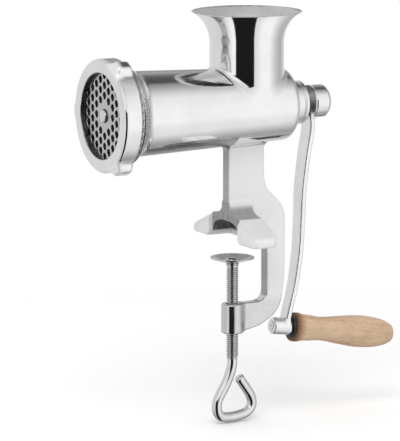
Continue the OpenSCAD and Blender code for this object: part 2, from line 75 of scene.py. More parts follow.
# The crank's joint lies on the barrel's axis, under the hopper's middle.
joints = {joint["name"]: joint for joint in frame["joints"]}
HOPPER_X, _, AXIS_Z = np.array(joints["crank_turn"]["pos_m"]) / MM
BOSS = np.array(joints["grip_turn"]["pos_m"]) / MM
HANDLE_AXIS = np.array(joints["grip_turn"]["axis"])
# How far the crank's lower boss reaches towards the grip, and how far the grip's end is darkened with painted
# shade.
BOSS_OUT = 5
GRIP_END_SHADE = 10


# Outlines

def rounded(points, closed=True, steps=8):
    """An outline whose corners (u, v, r) become curves that leave the corner by r on both sides."""
    corners = [np.array(p[:2], float) for p in points]
    outline = []
    for i, point in enumerate(points):
        here, cut = corners[i], point[2] if len(point) > 2 else 0
        if not cut or (not closed and i in (0, len(points) - 1)):
            outline.append(here)
            continue
        before, after = corners[i - 1], corners[(i + 1) % len(points)]
        a = here + (before - here) / np.linalg.norm(before - here) * cut
        b = here + (after - here) / np.linalg.norm(after - here) * cut
        for t in np.linspace(0, 1, steps):
            outline.append((1 - t) ** 2 * a + 2 * t * (1 - t) * here + t * t * b)
    return np.array(outline)


def smooth(points, steps=10):
    """A curve through a list of points."""
    p = np.array(points, float)
    p = np.vstack([2 * p[0] - p[1], p, 2 * p[-1] - p[-2]])
    curve = []
    for a, b, c, d in zip(p, p[1:], p[2:], p[3:]):
        for t in np.arange(steps) / steps:
            bend = 2 * a - 5 * b + 4 * c - d
            swing = 3 * b - a - 3 * c + d
            curve.append(b + ((c - a) * t + bend * t * t + swing * t ** 3) / 2)
    return np.array(curve + [p[-2]])


def band(route, thickness):
    """Outline of a strip along a flat route."""
    along = np.gradient(route, axis=0)
    left = np.stack([-along[:, 1], along[:, 0]], 1) / np.linalg.norm(along, axis=1)[:, None]
    return np.vstack([route + left * thickness / 2, (route - left * thickness / 2)[::-1]])


# Distance fields: negative inside a shape, positive outside, in millimetres

# Keeps a place on an outline's grid just inside the last cell.
LAST_CELL = 1.001


def outline_field(outline, margin=14.0, step=0.25):
    """Signed distance to a closed outline, looked up in a grid that is worked out once."""
    low = outline.min(0) - margin
    counts = np.ceil((outline.max(0) + margin - low) / step).astype(int) + 1
    u = low[0] + step * np.arange(counts[0])[:, None]
    v = low[1] + step * np.arange(counts[1])[None, :]
    nearest = np.full(counts, np.inf)
    inside = np.zeros(counts, bool)
    for a, b in zip(outline, np.roll(outline, -1, 0)):
        e = b - a
        if not e.any():
            continue
        t = np.clip(((u - a[0]) * e[0] + (v - a[1]) * e[1]) / (e @ e), 0, 1)
        nearest = np.minimum(nearest, (u - a[0] - t * e[0]) ** 2 + (v - a[1] - t * e[1]) ** 2)
        if e[1]:
            crosses = (a[1] > v) != (b[1] > v)
            inside ^= crosses & (u < a[0] + e[0] * (v - a[1]) / e[1])
    table = np.where(inside, -1, 1) * np.sqrt(nearest)

    def distance(x, y):
        fx = (x - low[0]) / step
        fy = (y - low[1]) / step
        cx = np.clip(fx, 0, counts[0] - LAST_CELL)
        cy = np.clip(fy, 0, counts[1] - LAST_CELL)
        i, j = cx.astype(int), cy.astype(int)
        s, t = cx - i, cy - j
        near = table[i, j] * (1 - t) + table[i, j + 1] * t
        far = table[i + 1, j] * (1 - t) + table[i + 1, j + 1] * t
        return near * (1 - s) + far * s + step * np.hypot(fx - cx, fy - cy)

    return distance


def join(a, b, r):
    """Union with a fillet of radius r."""
    return np.maximum(r, np.minimum(a, b)) - np.hypot(np.maximum(r - a, 0), np.maximum(r - b, 0))


def meet(a, b, r):
    """Intersection with edges rounded to radius r."""
    return np.minimum(-r, np.maximum(a, b)) + np.hypot(np.maximum(r + a, 0), np.maximum(r + b, 0))


def cut(a, b, r):
    """Shape a without shape b, with edges rounded to radius r."""
    return meet(a, -b, r)


def slab(x, low, high):
    """The space between two planes."""
    return np.abs(x - (low + high) / 2) - (high - low) / 2


# How many grid steps a field's grid starts outside its box: no whole number, so no flat face lies on it.
GRID_SHIFT = 1.618
# Grid steps in a block that is looked at first, and how near its middle is to a surface that it may hold.
BLOCK = 5
NEAR_BLOCKS = 1.2
NO_SLOPE = 1e-9


def solid(name, field, low, high, step, shade=None):
    """Closed mesh of a field's surface, with every point and normal taken from the field.

    A rule shade(points, normals) may turn the normals before they are stored."""
    low, high = np.array(low, float) - GRID_SHIFT * step, np.array(high, float) + 2 * step
    blocks = np.ceil((high - low) / (step * BLOCK)).astype(int)
    counts = blocks * BLOCK
    middles = np.indices(blocks).reshape(3, -1) * BLOCK + (BLOCK - 1) / 2
    coarse = field(*(low[:, None] + step * middles)).reshape(blocks)
    near = np.abs(coarse) < NEAR_BLOCKS * step * BLOCK

    def spread(values):
        for axis in range(3):
            values = np.repeat(values, BLOCK, axis)
        return values

    values = spread(coarse)
    places = np.nonzero(spread(near))
    values[places] = field(*(low[:, None] + step * np.array(places)))
    inside = values < 0

    corners = itertools.product((0, 1), repeat=3)
    filled = sum(
        inside[i:counts[0] - 1 + i, j:counts[1] - 1 + j, k:counts[2] - 1 + k].astype(np.int8)
        for i, j, k in corners
    )
    cells = (filled > 0) & (filled < 8)
    index = np.full(cells.shape, -1)
    index[cells] = np.arange(cells.sum())
    points = low[:, None] + step * (np.array(np.nonzero(cells)) + 0.5)

    def slope(at, reach):
        parts = []
        for axis in range(3):
            offset = np.zeros((3, 1))
            offset[axis] = reach
            parts.append(field(*(at + offset)) - field(*(at - offset)))
        parts = np.array(parts)
        return parts / np.maximum(np.linalg.norm(parts, axis=0), NO_SLOPE)

    for _ in range(3):
        points = points - np.clip(field(*points), -step, step) * slope(points, step / 4)

    quads = []
    for axis in range(3):
        order = (axis, (axis + 1) % 3, (axis + 2) % 3)
        state = np.transpose(inside, order)
        ids = np.transpose(index, order)
        start, end = state[:-1, 1:-1, 1:-1], state[1:, 1:-1, 1:-1]
        ring = np.stack([ids[:, :-1, :-1], ids[:, 1:, :-1], ids[:, 1:, 1:], ids[:, :-1, 1:]], -1)
        quads.append(ring[start & ~end])
        quads.append(ring[end & ~start][:, ::-1])
    normals = slope(points, step / 2)
    if shade:
        normals = shade(points, normals)
    return mesh_piece(name, points.T, np.vstack(quads), normals.T)


# Meshes

SHARP_ANGLE = radians(35)


def mesh_piece(name, points, faces, normals=None):
    """A smooth-shaded object from points in millimetres."""
    mesh = bpy.data.meshes.new(name)
    mesh.from_pydata((np.array(points) * MM).tolist(), [], [list(f) for f in faces])
    mesh.validate()
    mesh.polygons.foreach_set("use_smooth", [True] * len(mesh.polygons))
    if normals is None:
        mesh.set_sharp_from_angle(angle=SHARP_ANGLE)
    else:
        mesh.normals_split_custom_set_from_vertices(normals.tolist())
    piece = bpy.data.objects.new(name, mesh)
    bpy.context.scene.collection.objects.link(piece)
    return piece


def axis_place(origin, direction):
    """Matrix that puts local +Z on a direction, at an origin in millimetres."""
    turn = Vector((0, 0, 1)).rotation_difference(Vector(direction)).to_matrix().to_4x4()
    return np.array(Matrix.Translation(Vector(origin)) @ turn)


ALONG_BARREL = axis_place((0, 0, AXIS_Z), (1, 0, 0))
ALONG_HANDLE = axis_place(BOSS, HANDLE_AXIS)
UPRIGHT = axis_place((0, 0, 0), (0, 0, 1))


def placed(place, points):
    return np.array(points) @ place[:3, :3].T + place[:3, 3]


# A point of an outline that is nearer to the axis than this lies on it.
ON_AXIS = 1e-6


def revolved(outline, segments=96):
    """Points and faces of an outline (r, z) turned about Z, closed where it meets the axis."""
    angles = np.arange(segments) * 2 * pi / segments
    points, rings, faces = [], [], []
    for r, z in outline:
        if r < ON_AXIS:
            rings.append([len(points)] * segments)
            points.append((0, 0, z))
        else:
            rings.append(list(range(len(points), len(points) + segments)))
            points += [(r * cos(a), r * sin(a), z) for a in angles]
    for low, high in zip(rings, rings[1:] + rings[:1]):
        if low[0] == low[1] and high[0] == high[1]:
            continue
        for k in range(segments):
            n = (k + 1) % segments
            face = dict.fromkeys((low[k], low[n], high[n], high[k]))
            faces.append(list(face))
    return points, faces


def swept(sections):
    """Points and faces of a closed skin over a row of sections, each a list of points."""
    sides = len(sections[0])
    points = [p for section in sections for p in section]
    faces = []
    for i, k in itertools.product(range(len(sections) - 1), range(sides)):
        here, there, n = i * sides, (i + 1) * sides, (k + 1) % sides
        faces.append([here + k, here + n, there + n, there + k])
    last = (len(sections) - 1) * sides
    faces.append(list(range(sides - 1, -1, -1)))
    faces.append(list(range(last, last + sides)))
    return points, faces


# A ridge's height at its ends and the length over which it rises, both in turns.
RIDGE_TIP = 0.05
RIDGE_FADE = 0.3


def ridge(root_r, crest_r, root_half, crest_half):
    """Profile (r, z) of a thread's ridge."""
    return [(root_r, -root_half), (crest_r, -crest_half), (crest_r, crest_half), (root_r, root_half)]


def helix(profile, pitch, start, end, per_turn=48):
    """Points and faces of a ridge wound about Z."""
    turns = (end - start) / pitch
    count = int(turns * per_turn)
    root_r = profile[0][0]
    sections = []
    for i in range(count + 1):
        turn = turns * i / count
        rise = min(1, (RIDGE_TIP + min(turn, turns - turn)) / RIDGE_FADE)
        a = 2 * pi * turn
        section = [(root_r + (r - root_r) * rise, dz) for r, dz in profile]
        sections.append([(r * cos(a), r * sin(a), start + turn * pitch + dz) for r, dz in section])
    return swept(sections)


# The angle at which a rod's softened end starts, and its length as a share of the radius.
CAP_START = 0.35
CAP_LENGTH = 0.5


def tube(path, radius, sides=32):
    """Points and faces of a round rod along a path in the XZ plane, with softened ends."""
    path = np.array(path, float)
    along = np.gradient(path, axis=0)
    along /= np.linalg.norm(along, axis=1)[:, None]
    cap_angles = np.linspace(CAP_START, pi / 2, 5)
    caps = [(CAP_LENGTH * radius * cos(a), sin(a)) for a in cap_angles]
    stations = [(path[0] - along[0] * out, along[0], share) for out, share in caps]
    stations += [(p, t, 1) for p, t in zip(path[1:-1], along[1:-1])]
    stations += [(path[-1] + along[-1] * out, along[-1], share) for out, share in caps[::-1]]
    sections = []
    for p, t, share in stations:
        left = np.array([-t[1], t[0]])
        ring = []
        for k in range(sides):
            a = 2 * pi * k / sides
            q = p + left * radius * share * cos(a)
            ring.append((q[0], radius * share * sin(a), q[1]))
        sections.append(ring)
    return swept(sections)


def merged(*skins):
    """One list of points and one of faces from several closed skins."""
    points, faces = [], []
    for skin_points, skin_faces in skins:
        faces += [[i + len(points) for i in face] for face in skin_faces]
        points += list(map(tuple, skin_points))
    return points, faces


def built(name, skin, place=UPRIGHT):
    points, faces = skin
    return mesh_piece(name, placed(place, points), faces)


def lathed(name, place, points, closed=False, segments=96):
    """A turned piece from the corners of its outline (r, z, rounding)."""
    return built(name, revolved(rounded(points, closed), segments), place)


# Materials

SATIN_TONE = 0.71
SATIN_METAL = 0.2
SATIN_ROUGH = 0.42
# Tone of the dark, mottled painted shade that the dull places get.
DULL_SHADE_TONE = 0.075
RAW_ROUGH = 0.5
# Distance between the marks of a turning tool, in metres, and how deep they look.
TOOL_PITCH = 0.0006
TOOL_DEPTH = 0.25
WAVE_TURN = 6.28
WHITE = (1.0, 1.0, 1.0)


def grey(tone):
    return (tone, tone, tone, 1)


def darker(tone, share):
    return tuple(c * share for c in tone)


class Nodes:
    """A short way to write a material's node tree."""

    def __init__(self, name):
        self.material = bpy.data.materials.new(name)
        self.material.use_nodes = True
        self.tree = self.material.node_tree
        self.shader = self.tree.nodes["Principled BSDF"]

    def add(self, kind, inputs=(), **settings):
        node = self.tree.nodes.new("ShaderNode" + kind)
        for key, value in settings.items():
            setattr(node, key, value)
        for key, value in dict(inputs).items():
            if isinstance(value, bpy.types.NodeSocket):
                self.tree.links.new(value, node.inputs[key])
            else:
                node.inputs[key].default_value = value
        return node

    def place(self, scale=(1, 1, 1), turn=(0, 0, 0), where=None):
        if where is None:
            where = self.add("TexCoord").outputs["Object"]
        return self.add("Mapping", {"Vector": where, "Scale": scale, "Rotation": turn}).outputs[0]

    def noise(self, where, scale, detail=3.0, rough=0.5):
        settings = {"Vector": where, "Scale": scale, "Detail": detail, "Roughness": rough}
        return self.add("TexNoise", settings).outputs["Fac"]

    def ramp(self, value, *stops):
        node = self.add("ValToRGB", {"Fac": value})
        elements = node.color_ramp.elements
        while len(elements) < len(stops):
            elements.new(0.5)
        for element, (position, colour) in zip(elements, stops):
            element.position = position
            element.color = (*colour, 1) if isinstance(colour, tuple) else grey(colour)
        return node.outputs["Color"]

    def bump(self, height, strength, distance, under=None):
        inputs = {"Height": height, "Strength": strength, "Distance": distance}
        if under is not None:
            inputs["Normal"] = under
        return self.add("Bump", inputs).outputs["Normal"]

    def math(self, operation, *values):
        return self.add("Math", dict(enumerate(values)), operation=operation).outputs[0]

    def along(self, where, direction):
        """How far a place lies along a direction."""
        inputs = {0: where, 1: direction}
        return self.add("VectorMath", inputs, operation="DOT_PRODUCT").outputs["Value"]

    def mixed(self, share, a, b, blend="MIX"):
        inputs = {0: share, 6: a, 7: b}
        return self.add("Mix", inputs, data_type="RGBA", blend_type=blend).outputs[2]

    def span(self, value, low, high, start=0.0, end=1.0, kind="LINEAR"):
        """A value mapped from low to high onto start to end."""
        inputs = {0: value, 1: low, 2: high, 3: start, 4: end}
        return self.add("MapRange", inputs, interpolation_type=kind).outputs[0]

    def painted(self, share):
        """A share that paint() stored on the piece, 0 where it stored none."""
        return self.add("Attribute", attribute_name=share).outputs["Fac"]

    def link(self, **sockets):
        for key, socket in sockets.items():
            self.tree.links.new(socket, self.shader.inputs[key.replace("_", " ")])


def metal(name, tone, rough, spread, grain, grain_scale=(900, 900, 900), ripple=0.0):
    """Bare metal with slow ripples, fine grain and small changes of gloss.

    It is pale where a piece is painted satin. Where the second share is painted, it is dull and gets a dark,
    mottled painted shade."""
    n = Nodes(name)
    where = n.place()
    patches = n.noise(where, 45, detail=4.0, rough=0.6)
    grains = n.noise(n.place(grain_scale), 1.0, detail=2.0)
    clean = n.ramp(patches, (0.3, darker(tone, 0.94)), (0.6, tone))
    gloss = n.ramp(patches, (0.3, rough + spread), (0.7, max(0.02, rough - spread)))
    normal = n.bump(grains, grain, 0.00002)
    if ripple:
        normal = n.bump(n.noise(where, 38, detail=1.0), ripple, 0.001, normal)
    satin, dull_and_shade = n.painted("satin"), n.painted("dull_and_shade")
    satin_tone = n.ramp(patches, (0.3, SATIN_TONE * 0.97), (0.6, SATIN_TONE))
    # Painted shade: a dark, mottled colour for the places that lie in shade.
    mottled_shade = n.ramp(n.noise(where, 260), (0.35, DULL_SHADE_TONE * 0.5), (0.6, DULL_SHADE_TONE * 1.6))
    n.link(
        Base_Color=n.mixed(dull_and_shade, n.mixed(satin, clean, satin_tone), mottled_shade),
        Metallic=n.span(satin, 0, 1, 1.0, SATIN_METAL),
        Roughness=n.mixed(dull_and_shade, n.mixed(satin, gloss, grey(SATIN_ROUGH)), grey(RAW_ROUGH)),
        Normal=normal,
    )
    return n.material


def turned(name, tone, rough, direction):
    """Metal with fine tool marks that run round an axis."""
    n = Nodes(name)
    n.shader.inputs["Metallic"].default_value = 1.0
    where = n.place()
    lines = n.add("TexWave", {
        "Vector": where,
        "Scale": 1 / (TOOL_PITCH * WAVE_TURN),
        "Distortion": 0.6,
        "Detail": 2.0,
        "Detail Scale": 2.0,
    }, bands_direction=direction).outputs["Fac"]
    patches = n.noise(where, 60, detail=4.0, rough=0.6)
    n.link(
        Base_Color=n.ramp(patches, (0.3, darker(tone, 0.9)), (0.65, tone)),
        Roughness=n.ramp(patches, (0.3, rough + 0.05), (0.7, rough - 0.04)),
        Normal=n.bump(lines, TOOL_DEPTH, 0.0001),
    )
    return n.material


def plastic(name, tone, rough):
    n = Nodes(name)
    where = n.place()
    n.link(
        Base_Color=n.ramp(n.noise(where, 90), (0.3, darker(tone, 0.95)), (0.7, tone)),
        Roughness=n.ramp(n.noise(where, 200), (0.3, rough + 0.05), (0.7, rough - 0.05)),
        Normal=n.bump(n.noise(where, 1500), 0.08, 0.0001),
    )
    return n.material


STREAK_SCALE = (7, 260, 260)
FLECK_SCALE = (160, 1500, 1500)
CLOUD_SCALE = (30, 60, 60)
STREAK_TONES = [(0.28, (0.45, 0.285, 0.165)), (0.5, (0.55, 0.39, 0.255)), (0.75, (0.61, 0.45, 0.31))]
CLOUD_TONES = [(0.3, (0.84, 0.8, 0.76)), (0.55, WHITE)]
FLECK_TONES = [(0.3, (0.72, 0.62, 0.54)), (0.42, WHITE)]
# Tones of the painted shade at the grip's inner end, over its darker end grain.
END_SHADE_TONES = [(0.0, (0.1, 0.06, 0.035)), (0.25, (0.3, 0.2, 0.13)), (0.6, (0.72, 0.62, 0.54)), (1.0, WHITE)]


def wood(name):
    """Oiled beech: fine streaks along the grip, short dark flecks, and an inner end darkened by painted shade
    over darker end grain.
    """
    n = Nodes(name)
    tilt = atan2(HANDLE_AXIS[2], HANDLE_AXIS[0])
    along = n.place(turn=(0, tilt, 0))
    streaks = n.noise(n.place(STREAK_SCALE, where=along), 1.0, detail=5.0, rough=0.62)
    flecks = n.noise(n.place(FLECK_SCALE, where=along), 1.0, detail=2.0)
    clouds = n.noise(n.place(CLOUD_SCALE), 1.0, detail=2.0)
    from_boss = n.along(n.add("TexCoord").outputs["Object"], HANDLE_AXIS)
    start = (BOSS @ HANDLE_AXIS + BOSS_OUT) * MM
    # Painted shade at the grip's inner end, where it meets the boss.
    end_shade = n.ramp(n.span(from_boss, start, start + GRIP_END_SHADE * MM), *END_SHADE_TONES)
    colour = n.ramp(streaks, *STREAK_TONES)
    for layer in (n.ramp(clouds, *CLOUD_TONES), n.ramp(flecks, *FLECK_TONES), end_shade):
        colour = n.mixed(1.0, colour, layer, "MULTIPLY")
    n.link(
        Base_Color=colour,
        Roughness=n.ramp(streaks, (0.3, 0.56), (0.7, 0.44)),
        Normal=n.bump(flecks, 0.15, 0.0003),
    )
    return n.material


BRIGHT = (0.9, 0.9, 0.905)
POLISHED = metal("polished_casting", BRIGHT, 0.07, spread=0.025, grain=0.05, ripple=0.1)
TURNED = turned("turned_metal", BRIGHT, 0.2, "X")
GROUND = metal("ground_steel", (0.62, 0.62, 0.63), 0.24, spread=0.05, grain=0.3, grain_scale=(300, 2600, 300))
PLATED = metal("plated_steel", (0.8, 0.8, 0.8), 0.16, spread=0.04, grain=0.1, ripple=0.06)
# The grip's washer is near black: painted shade at the grip's inner end.
WASHER_SHADE_STEEL = metal("washer_painted_shade", (0.07, 0.065, 0.06), 0.45, spread=0.06, grain=0.2)
SLEEVE_PLASTIC = plastic("bearing_plastic", (0.86, 0.86, 0.83), 0.45)
WOOD = wood("wood")


def dress(piece, body, slot, material, *nodes):
    """Gives a piece its finish, the body it moves with and the CAD nodes it stands for."""
    piece.data.materials.clear()
    piece.data.materials.append(material)
    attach(piece, body)
    if nodes:
        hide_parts(*nodes)
    return piece


def paint(piece, name, rule):
    """Stores a share from 0 to 1 at every point of a piece, for its material to read."""
    mesh = piece.data
    points = np.zeros(len(mesh.vertices) * 3)
    mesh.vertices.foreach_get("co", points)
    share = np.clip(rule(*(points.reshape(-1, 3).T / MM)), 0, 1)
    mesh.attributes.new(name, "FLOAT", "POINT").data.foreach_set("value", share.astype(np.float32))


def grows(value, width):
    """A share that is 0 up to a value of 0 and rises to 1 over a width."""
    return np.clip(value / width, 0, 1)


def close_to(distance, width):
    """A share that is 1 at a distance of 0 and falls to 0 over a width."""
    return np.clip(1 - distance / width, 0, 1)


# How satin the painted places are, and how strong the second share is: mostly painted shade, with darkening
# and dull flecks in a few places.
HOPPER_SATIN = 0.75
LOBE_SATIN = 0.7
HOPPER_SHADE = 0.4
FLANK_SHADE = 0.65
JAW_FRONT_SHADE = 0.72
NECK_FRONT_SHADE = 0.57
THROAT_SHADE = 0.55
ARM_DARKENING = 0.25
THREAD_ROOT_SHADE = 0.6
FLECK_RAW = 0.75
PIN_SHADE = 0.8
HUB_SHADE = 0.85
DISC_RAW = 0.3
DISC_RIM_RAW = 0.1
SCREW_ROOT_SHADE = 0.38


# Casting: barrel, hopper and clamp frame in one piece

barrel_low, barrel_high = node_box("barrel")
hopper_low, hopper_high = node_box("hopper")
frame_low, frame_high = node_box("clamp_frame")
MOUTH_X = barrel_low[0]
REAR_X = barrel_high[0]
THREAD_R = (barrel_high[2] - barrel_low[2]) / 2
RIM_R = (hopper_high[0] - hopper_low[0]) / 2
RIM_Z = hopper_high[2]
COLUMN_OUT = frame_high[0]
JAW_FRONT = frame_low[0]
WING_END = frame_high[1]
ARM_BOTTOM = frame_low[2]

# Where a turned outline passes the axis, so that the axis itself is no edge, and how far the outline of a
# hole goes on past the face that it opens in.
PAST_AXIS = -15
PAST_FACE = 5
# Room between pieces that touch, and the rounding of the edges of holes in castings.
PLAY = 0.05
INNER_EDGE = 0.7

THREAD_BACK = MOUTH_X + 12.7
THREAD_DEPTH = 1.0
THREAD_RUNOUT = 0.4
BARREL_FRONT_R = 32
BARREL_REAR_R = 27.4
CONE_END = THREAD_BACK + 7
REAR_IN = REAR_X - 8
SPIGOT_R = 13.5
# Seats of plate and knife, and the tapered bore.
PLATE_SEAT_R = 35.1
PLATE_SEAT_X = MOUTH_X + 4.3
KNIFE_SEAT_R = 33
KNIFE_SEAT_X = MOUTH_X + 14.3
BORE_FRONT_R = 27.5
BORE_REAR_R = 23
HOPPER_R = 28
HOPPER_WALL = 3.4
HOPPER_FILLET = 3.5
# The hopper's foot draws in where it is inside the barrel, so that the two walls run together.
FOOT_R = HOPPER_R - 9
FOOT_Z = AXIS_Z - 16
FOOT_TOP = AXIS_Z + 4
FLARE_H = 24
FLARE_TURN = radians(70)
RIM_LIP = 2.4
RIM_PAST = RIM_Z + 4
# Over what height the flare's shading evens out, and how much of its tilt is left.
FLARE_EVEN = 8
FLARE_TILT = 0.15


def flare(r0, r1, steps=40):
    """Points of the hopper's trumpet from its straight foot to the rim."""
    a = np.linspace(0, FLARE_TURN, steps)
    out = (1 - np.cos(a)) / (1 - cos(FLARE_TURN))
    up = np.sin(a) / sin(FLARE_TURN)
    return np.stack([r0 + (r1 - r0) * out, RIM_Z - FLARE_H + FLARE_H * up], 1).tolist()


barrel_outside = outline_field(rounded([
    (MOUTH_X, PAST_AXIS),
    (MOUTH_X, THREAD_R - THREAD_DEPTH, 0.6),
    (THREAD_BACK - THREAD_RUNOUT, THREAD_R - THREAD_DEPTH, 0.3),
    (THREAD_BACK, THREAD_R, 0.8),
    (CONE_END, BARREL_FRONT_R, 4),
    (REAR_X, BARREL_REAR_R, 6),
    (REAR_X, PAST_AXIS),
]))
barrel_inside = outline_field(rounded([
    (MOUTH_X - PAST_FACE, PAST_AXIS),
    (MOUTH_X - PAST_FACE, PLATE_SEAT_R),
    (PLATE_SEAT_X, PLATE_SEAT_R),
    (PLATE_SEAT_X, KNIFE_SEAT_R),
    (KNIFE_SEAT_X, KNIFE_SEAT_R, 1),
    (KNIFE_SEAT_X, BORE_FRONT_R, 1),
    (REAR_IN, BORE_REAR_R, 3),
    (REAR_IN, SPIGOT_R),
    (REAR_X + PAST_FACE, SPIGOT_R),
    (REAR_X + PAST_FACE, PAST_AXIS),
]))
hopper_outside = outline_field(rounded(
    [(PAST_AXIS, FOOT_Z), (FOOT_R, FOOT_Z, 6), (HOPPER_R, FOOT_TOP, 14)]
    + flare(HOPPER_R, RIM_R) + [(PAST_AXIS, RIM_Z)]
))
hopper_inside = outline_field(rounded(
    [(PAST_AXIS, AXIS_Z), (HOPPER_R - HOPPER_WALL, AXIS_Z)]
    + flare(HOPPER_R - HOPPER_WALL, RIM_R - RIM_LIP)
    + [(RIM_R, RIM_PAST), (PAST_AXIS, RIM_PAST)]
))

FRAME_HALF = 4.75
FRAME_EDGE = 1.3
CLAMP_FILLET = 4.5
NECK_FRONT = -6
NECK_BACK = 25
NECK_TOP = AXIS_Z - 14
THROAT_X = 27.1
THROAT_Z = -49
# Heights at which the column's back bends, from the lower arm up to the neck, and how far it steps there.
ELBOW_Z = ARM_BOTTOM + 15.3
COLUMN_LOW = -32.7
COLUMN_HIGH = 18.5
SHOULDER_Z = 26.8
NECK_LOW = 37.8
NECK_HIGH = 46.6
BEND_STEP = 4.4
side_outline = outline_field(rounded([
    (NECK_FRONT, NECK_TOP),
    (NECK_FRONT, 0, 0.5),
    (THROAT_X, 0, 9),
    (THROAT_X, THROAT_Z, 9),
    (0, THROAT_Z, 0.5),
    (0, ARM_BOTTOM, 0.5),
    (THROAT_X - BEND_STEP, ARM_BOTTOM + BEND_STEP, 8),
    (COLUMN_OUT - BEND_STEP, ELBOW_Z, 9),
    (COLUMN_OUT, COLUMN_LOW, 12),
    (COLUMN_OUT, COLUMN_HIGH, 5),
    (COLUMN_OUT - BEND_STEP, SHOULDER_Z, 4),
    (NECK_BACK + BEND_STEP / 2, NECK_LOW, 4),
    (NECK_BACK, NECK_HIGH, 4),
    (NECK_BACK, NECK_TOP),
]))

JAW_GAP = 21.9
JAW_BACK = 14
JAW_FILLET = 2.5
SKIRT_H = 29
SKIRT_EDGE = 1.2
WING_ROOT_H = 18.5
WING_END_H = 7
WING_EDGE = 2
WING_BROW = 6
WING_FILLET = 1.5
ARCH_H = 15
ARCH_BEVEL = 3.6
ARCH_BACK = 11
ARCH_EDGE = 1.5
ARCH_RIM = 0.8
quarter_turn = np.linspace(0, pi / 2, 16)
skirt_flank = np.stack([
    JAW_GAP - (JAW_GAP - FRAME_HALF) * np.sin(quarter_turn),
    SKIRT_H - (SKIRT_H - WING_ROOT_H) * np.cos(quarter_turn),
], 1)
skirt_outline = outline_field(np.vstack([
    [(PAST_AXIS, 0), (JAW_GAP, 0)],
    skirt_flank,
    [(PAST_AXIS, SKIRT_H)],
]))
wing_outline = outline_field(rounded([
    (JAW_GAP, 0),
    (WING_END, 0, 3),
    (WING_END, WING_END_H, 4),
    (JAW_GAP, WING_ROOT_H),
]))
wing_plan = outline_field(rounded([
    (JAW_FRONT, JAW_GAP),
    (JAW_FRONT, WING_END, 6),
    (JAW_BACK, WING_END, 10),
    (JAW_BACK, JAW_GAP),
]))
arch_curve = np.stack([
    (JAW_GAP - ARCH_BEVEL / 2) * np.cos(quarter_turn),
    2 * ARCH_BEVEL + (ARCH_H - 2 * ARCH_BEVEL) * np.sin(quarter_turn),
], 1)
arch_outline = outline_field(np.vstack([
    [(PAST_AXIS, -PAST_FACE), (JAW_GAP + ARCH_BEVEL + PAST_FACE, -PAST_FACE), (JAW_GAP, ARCH_BEVEL)],
    arch_curve,
    [(PAST_AXIS, ARCH_H)],
]))
SCREW_R = 4.75
BOSS_WALL = 3.7
BOSS_EDGE = 1.5
SCREW_HOLE_EDGE = 0.6
# Where the jaw's flat underside ends and the throat's rounding starts.
SEAT_BACK = THROAT_X - 9.5


def skirt_field(x, aside, z):
    return meet(skirt_outline(aside, z), slab(x, NECK_FRONT, JAW_BACK), SKIRT_EDGE)


def arch_field(x, aside, z):
    return meet(arch_outline(aside, z), x - ARCH_BACK, ARCH_EDGE)


def wing_field(x, aside, z):
    """A wing whose upper front edge has a wider rounding than its other edges."""
    slope = np.array([WING_ROOT_H - WING_END_H, WING_END - JAW_GAP])
    slope /= np.linalg.norm(slope)
    above = slope[0] * (aside - JAW_GAP) + slope[1] * (z - WING_ROOT_H)
    wing = meet(wing_outline(aside, z), wing_plan(x, aside), WING_EDGE)
    return np.maximum(wing, meet(above, JAW_FRONT - x, WING_BROW))


def clamp_field(x, y, z):
    aside = np.abs(y)
    plate = meet(side_outline(x, z), aside - FRAME_HALF, FRAME_EDGE)
    jaw = join(plate, skirt_field(x, aside, z), JAW_FILLET)
    jaw = join(jaw, wing_field(x, aside, z), WING_FILLET)
    jaw = cut(jaw, arch_field(x, aside, z), ARCH_RIM)
    seat = np.where((x < SEAT_BACK) & (z > THROAT_Z / 2), -z, -np.inf)
    jaw = np.maximum(jaw, seat)
    from_screw = np.hypot(x, y)
    boss = meet(from_screw - SCREW_R - BOSS_WALL, slab(z, ARM_BOTTOM, THROAT_Z), BOSS_EDGE)
    hole = np.maximum(from_screw - SCREW_R - PLAY, z - THROAT_Z - PAST_FACE)
    return cut(join(jaw, boss, JAW_FILLET), hole, SCREW_HOLE_EDGE)


def casting_field(x, y, z):
    from_barrel = np.hypot(y, z - AXIS_Z)
    from_hopper = np.hypot(x - HOPPER_X, y)
    outside = join(barrel_outside(x, from_barrel), hopper_outside(from_hopper, z), HOPPER_FILLET)
    outside = join(outside, clamp_field(x, y, z), CLAMP_FILLET)
    inside = np.minimum(barrel_inside(x, from_barrel), hopper_inside(from_hopper, z))
    return cut(outside, inside, INNER_EDGE)


def even_flare(points, normals):
    """Evens out the flare's outside, so that it mirrors the same bands as the wall below it."""
    x, y, z = points
    outside = (normals[2] < 0) & (np.hypot(x - HOPPER_X, y) > HOPPER_R - 1)
    rise = grows(z - RIM_Z + FLARE_H, FLARE_EVEN)
    evened = normals.copy()
    evened[2] *= np.where(outside, 1 - rise * (1 - FLARE_TILT), 1)
    return evened / np.linalg.norm(evened, axis=0)


casting_low = np.min([barrel_low, hopper_low, frame_low], axis=0)
casting_high = np.max([barrel_high, hopper_high, frame_high], axis=0)
casting = solid("casting", casting_field, casting_low, casting_high, step=0.9, shade=even_flare)
dress(casting, "grinder_body", "polished_casting", POLISHED, "barrel", "hopper", "clamp_frame")

# How far a painted share reaches past a surface, and over what height the lower arm changes its finish.
SKIN = 0.6
ARCH_SKIN = 0.5
SATIN_SKIN = 1.1
ARM_FADE = 8
# The stretch of the hopper's inside that is seen from above.
HOPPER_LOW = AXIS_Z + 30
HOPPER_TOP = RIM_Z - 0.8


def hopper_share(x, y, z):
    """The hopper's inside."""
    near = close_to(hopper_inside(np.hypot(x - HOPPER_X, y), z), SKIN)
    return near * (z > HOPPER_LOW) * (z < HOPPER_TOP)


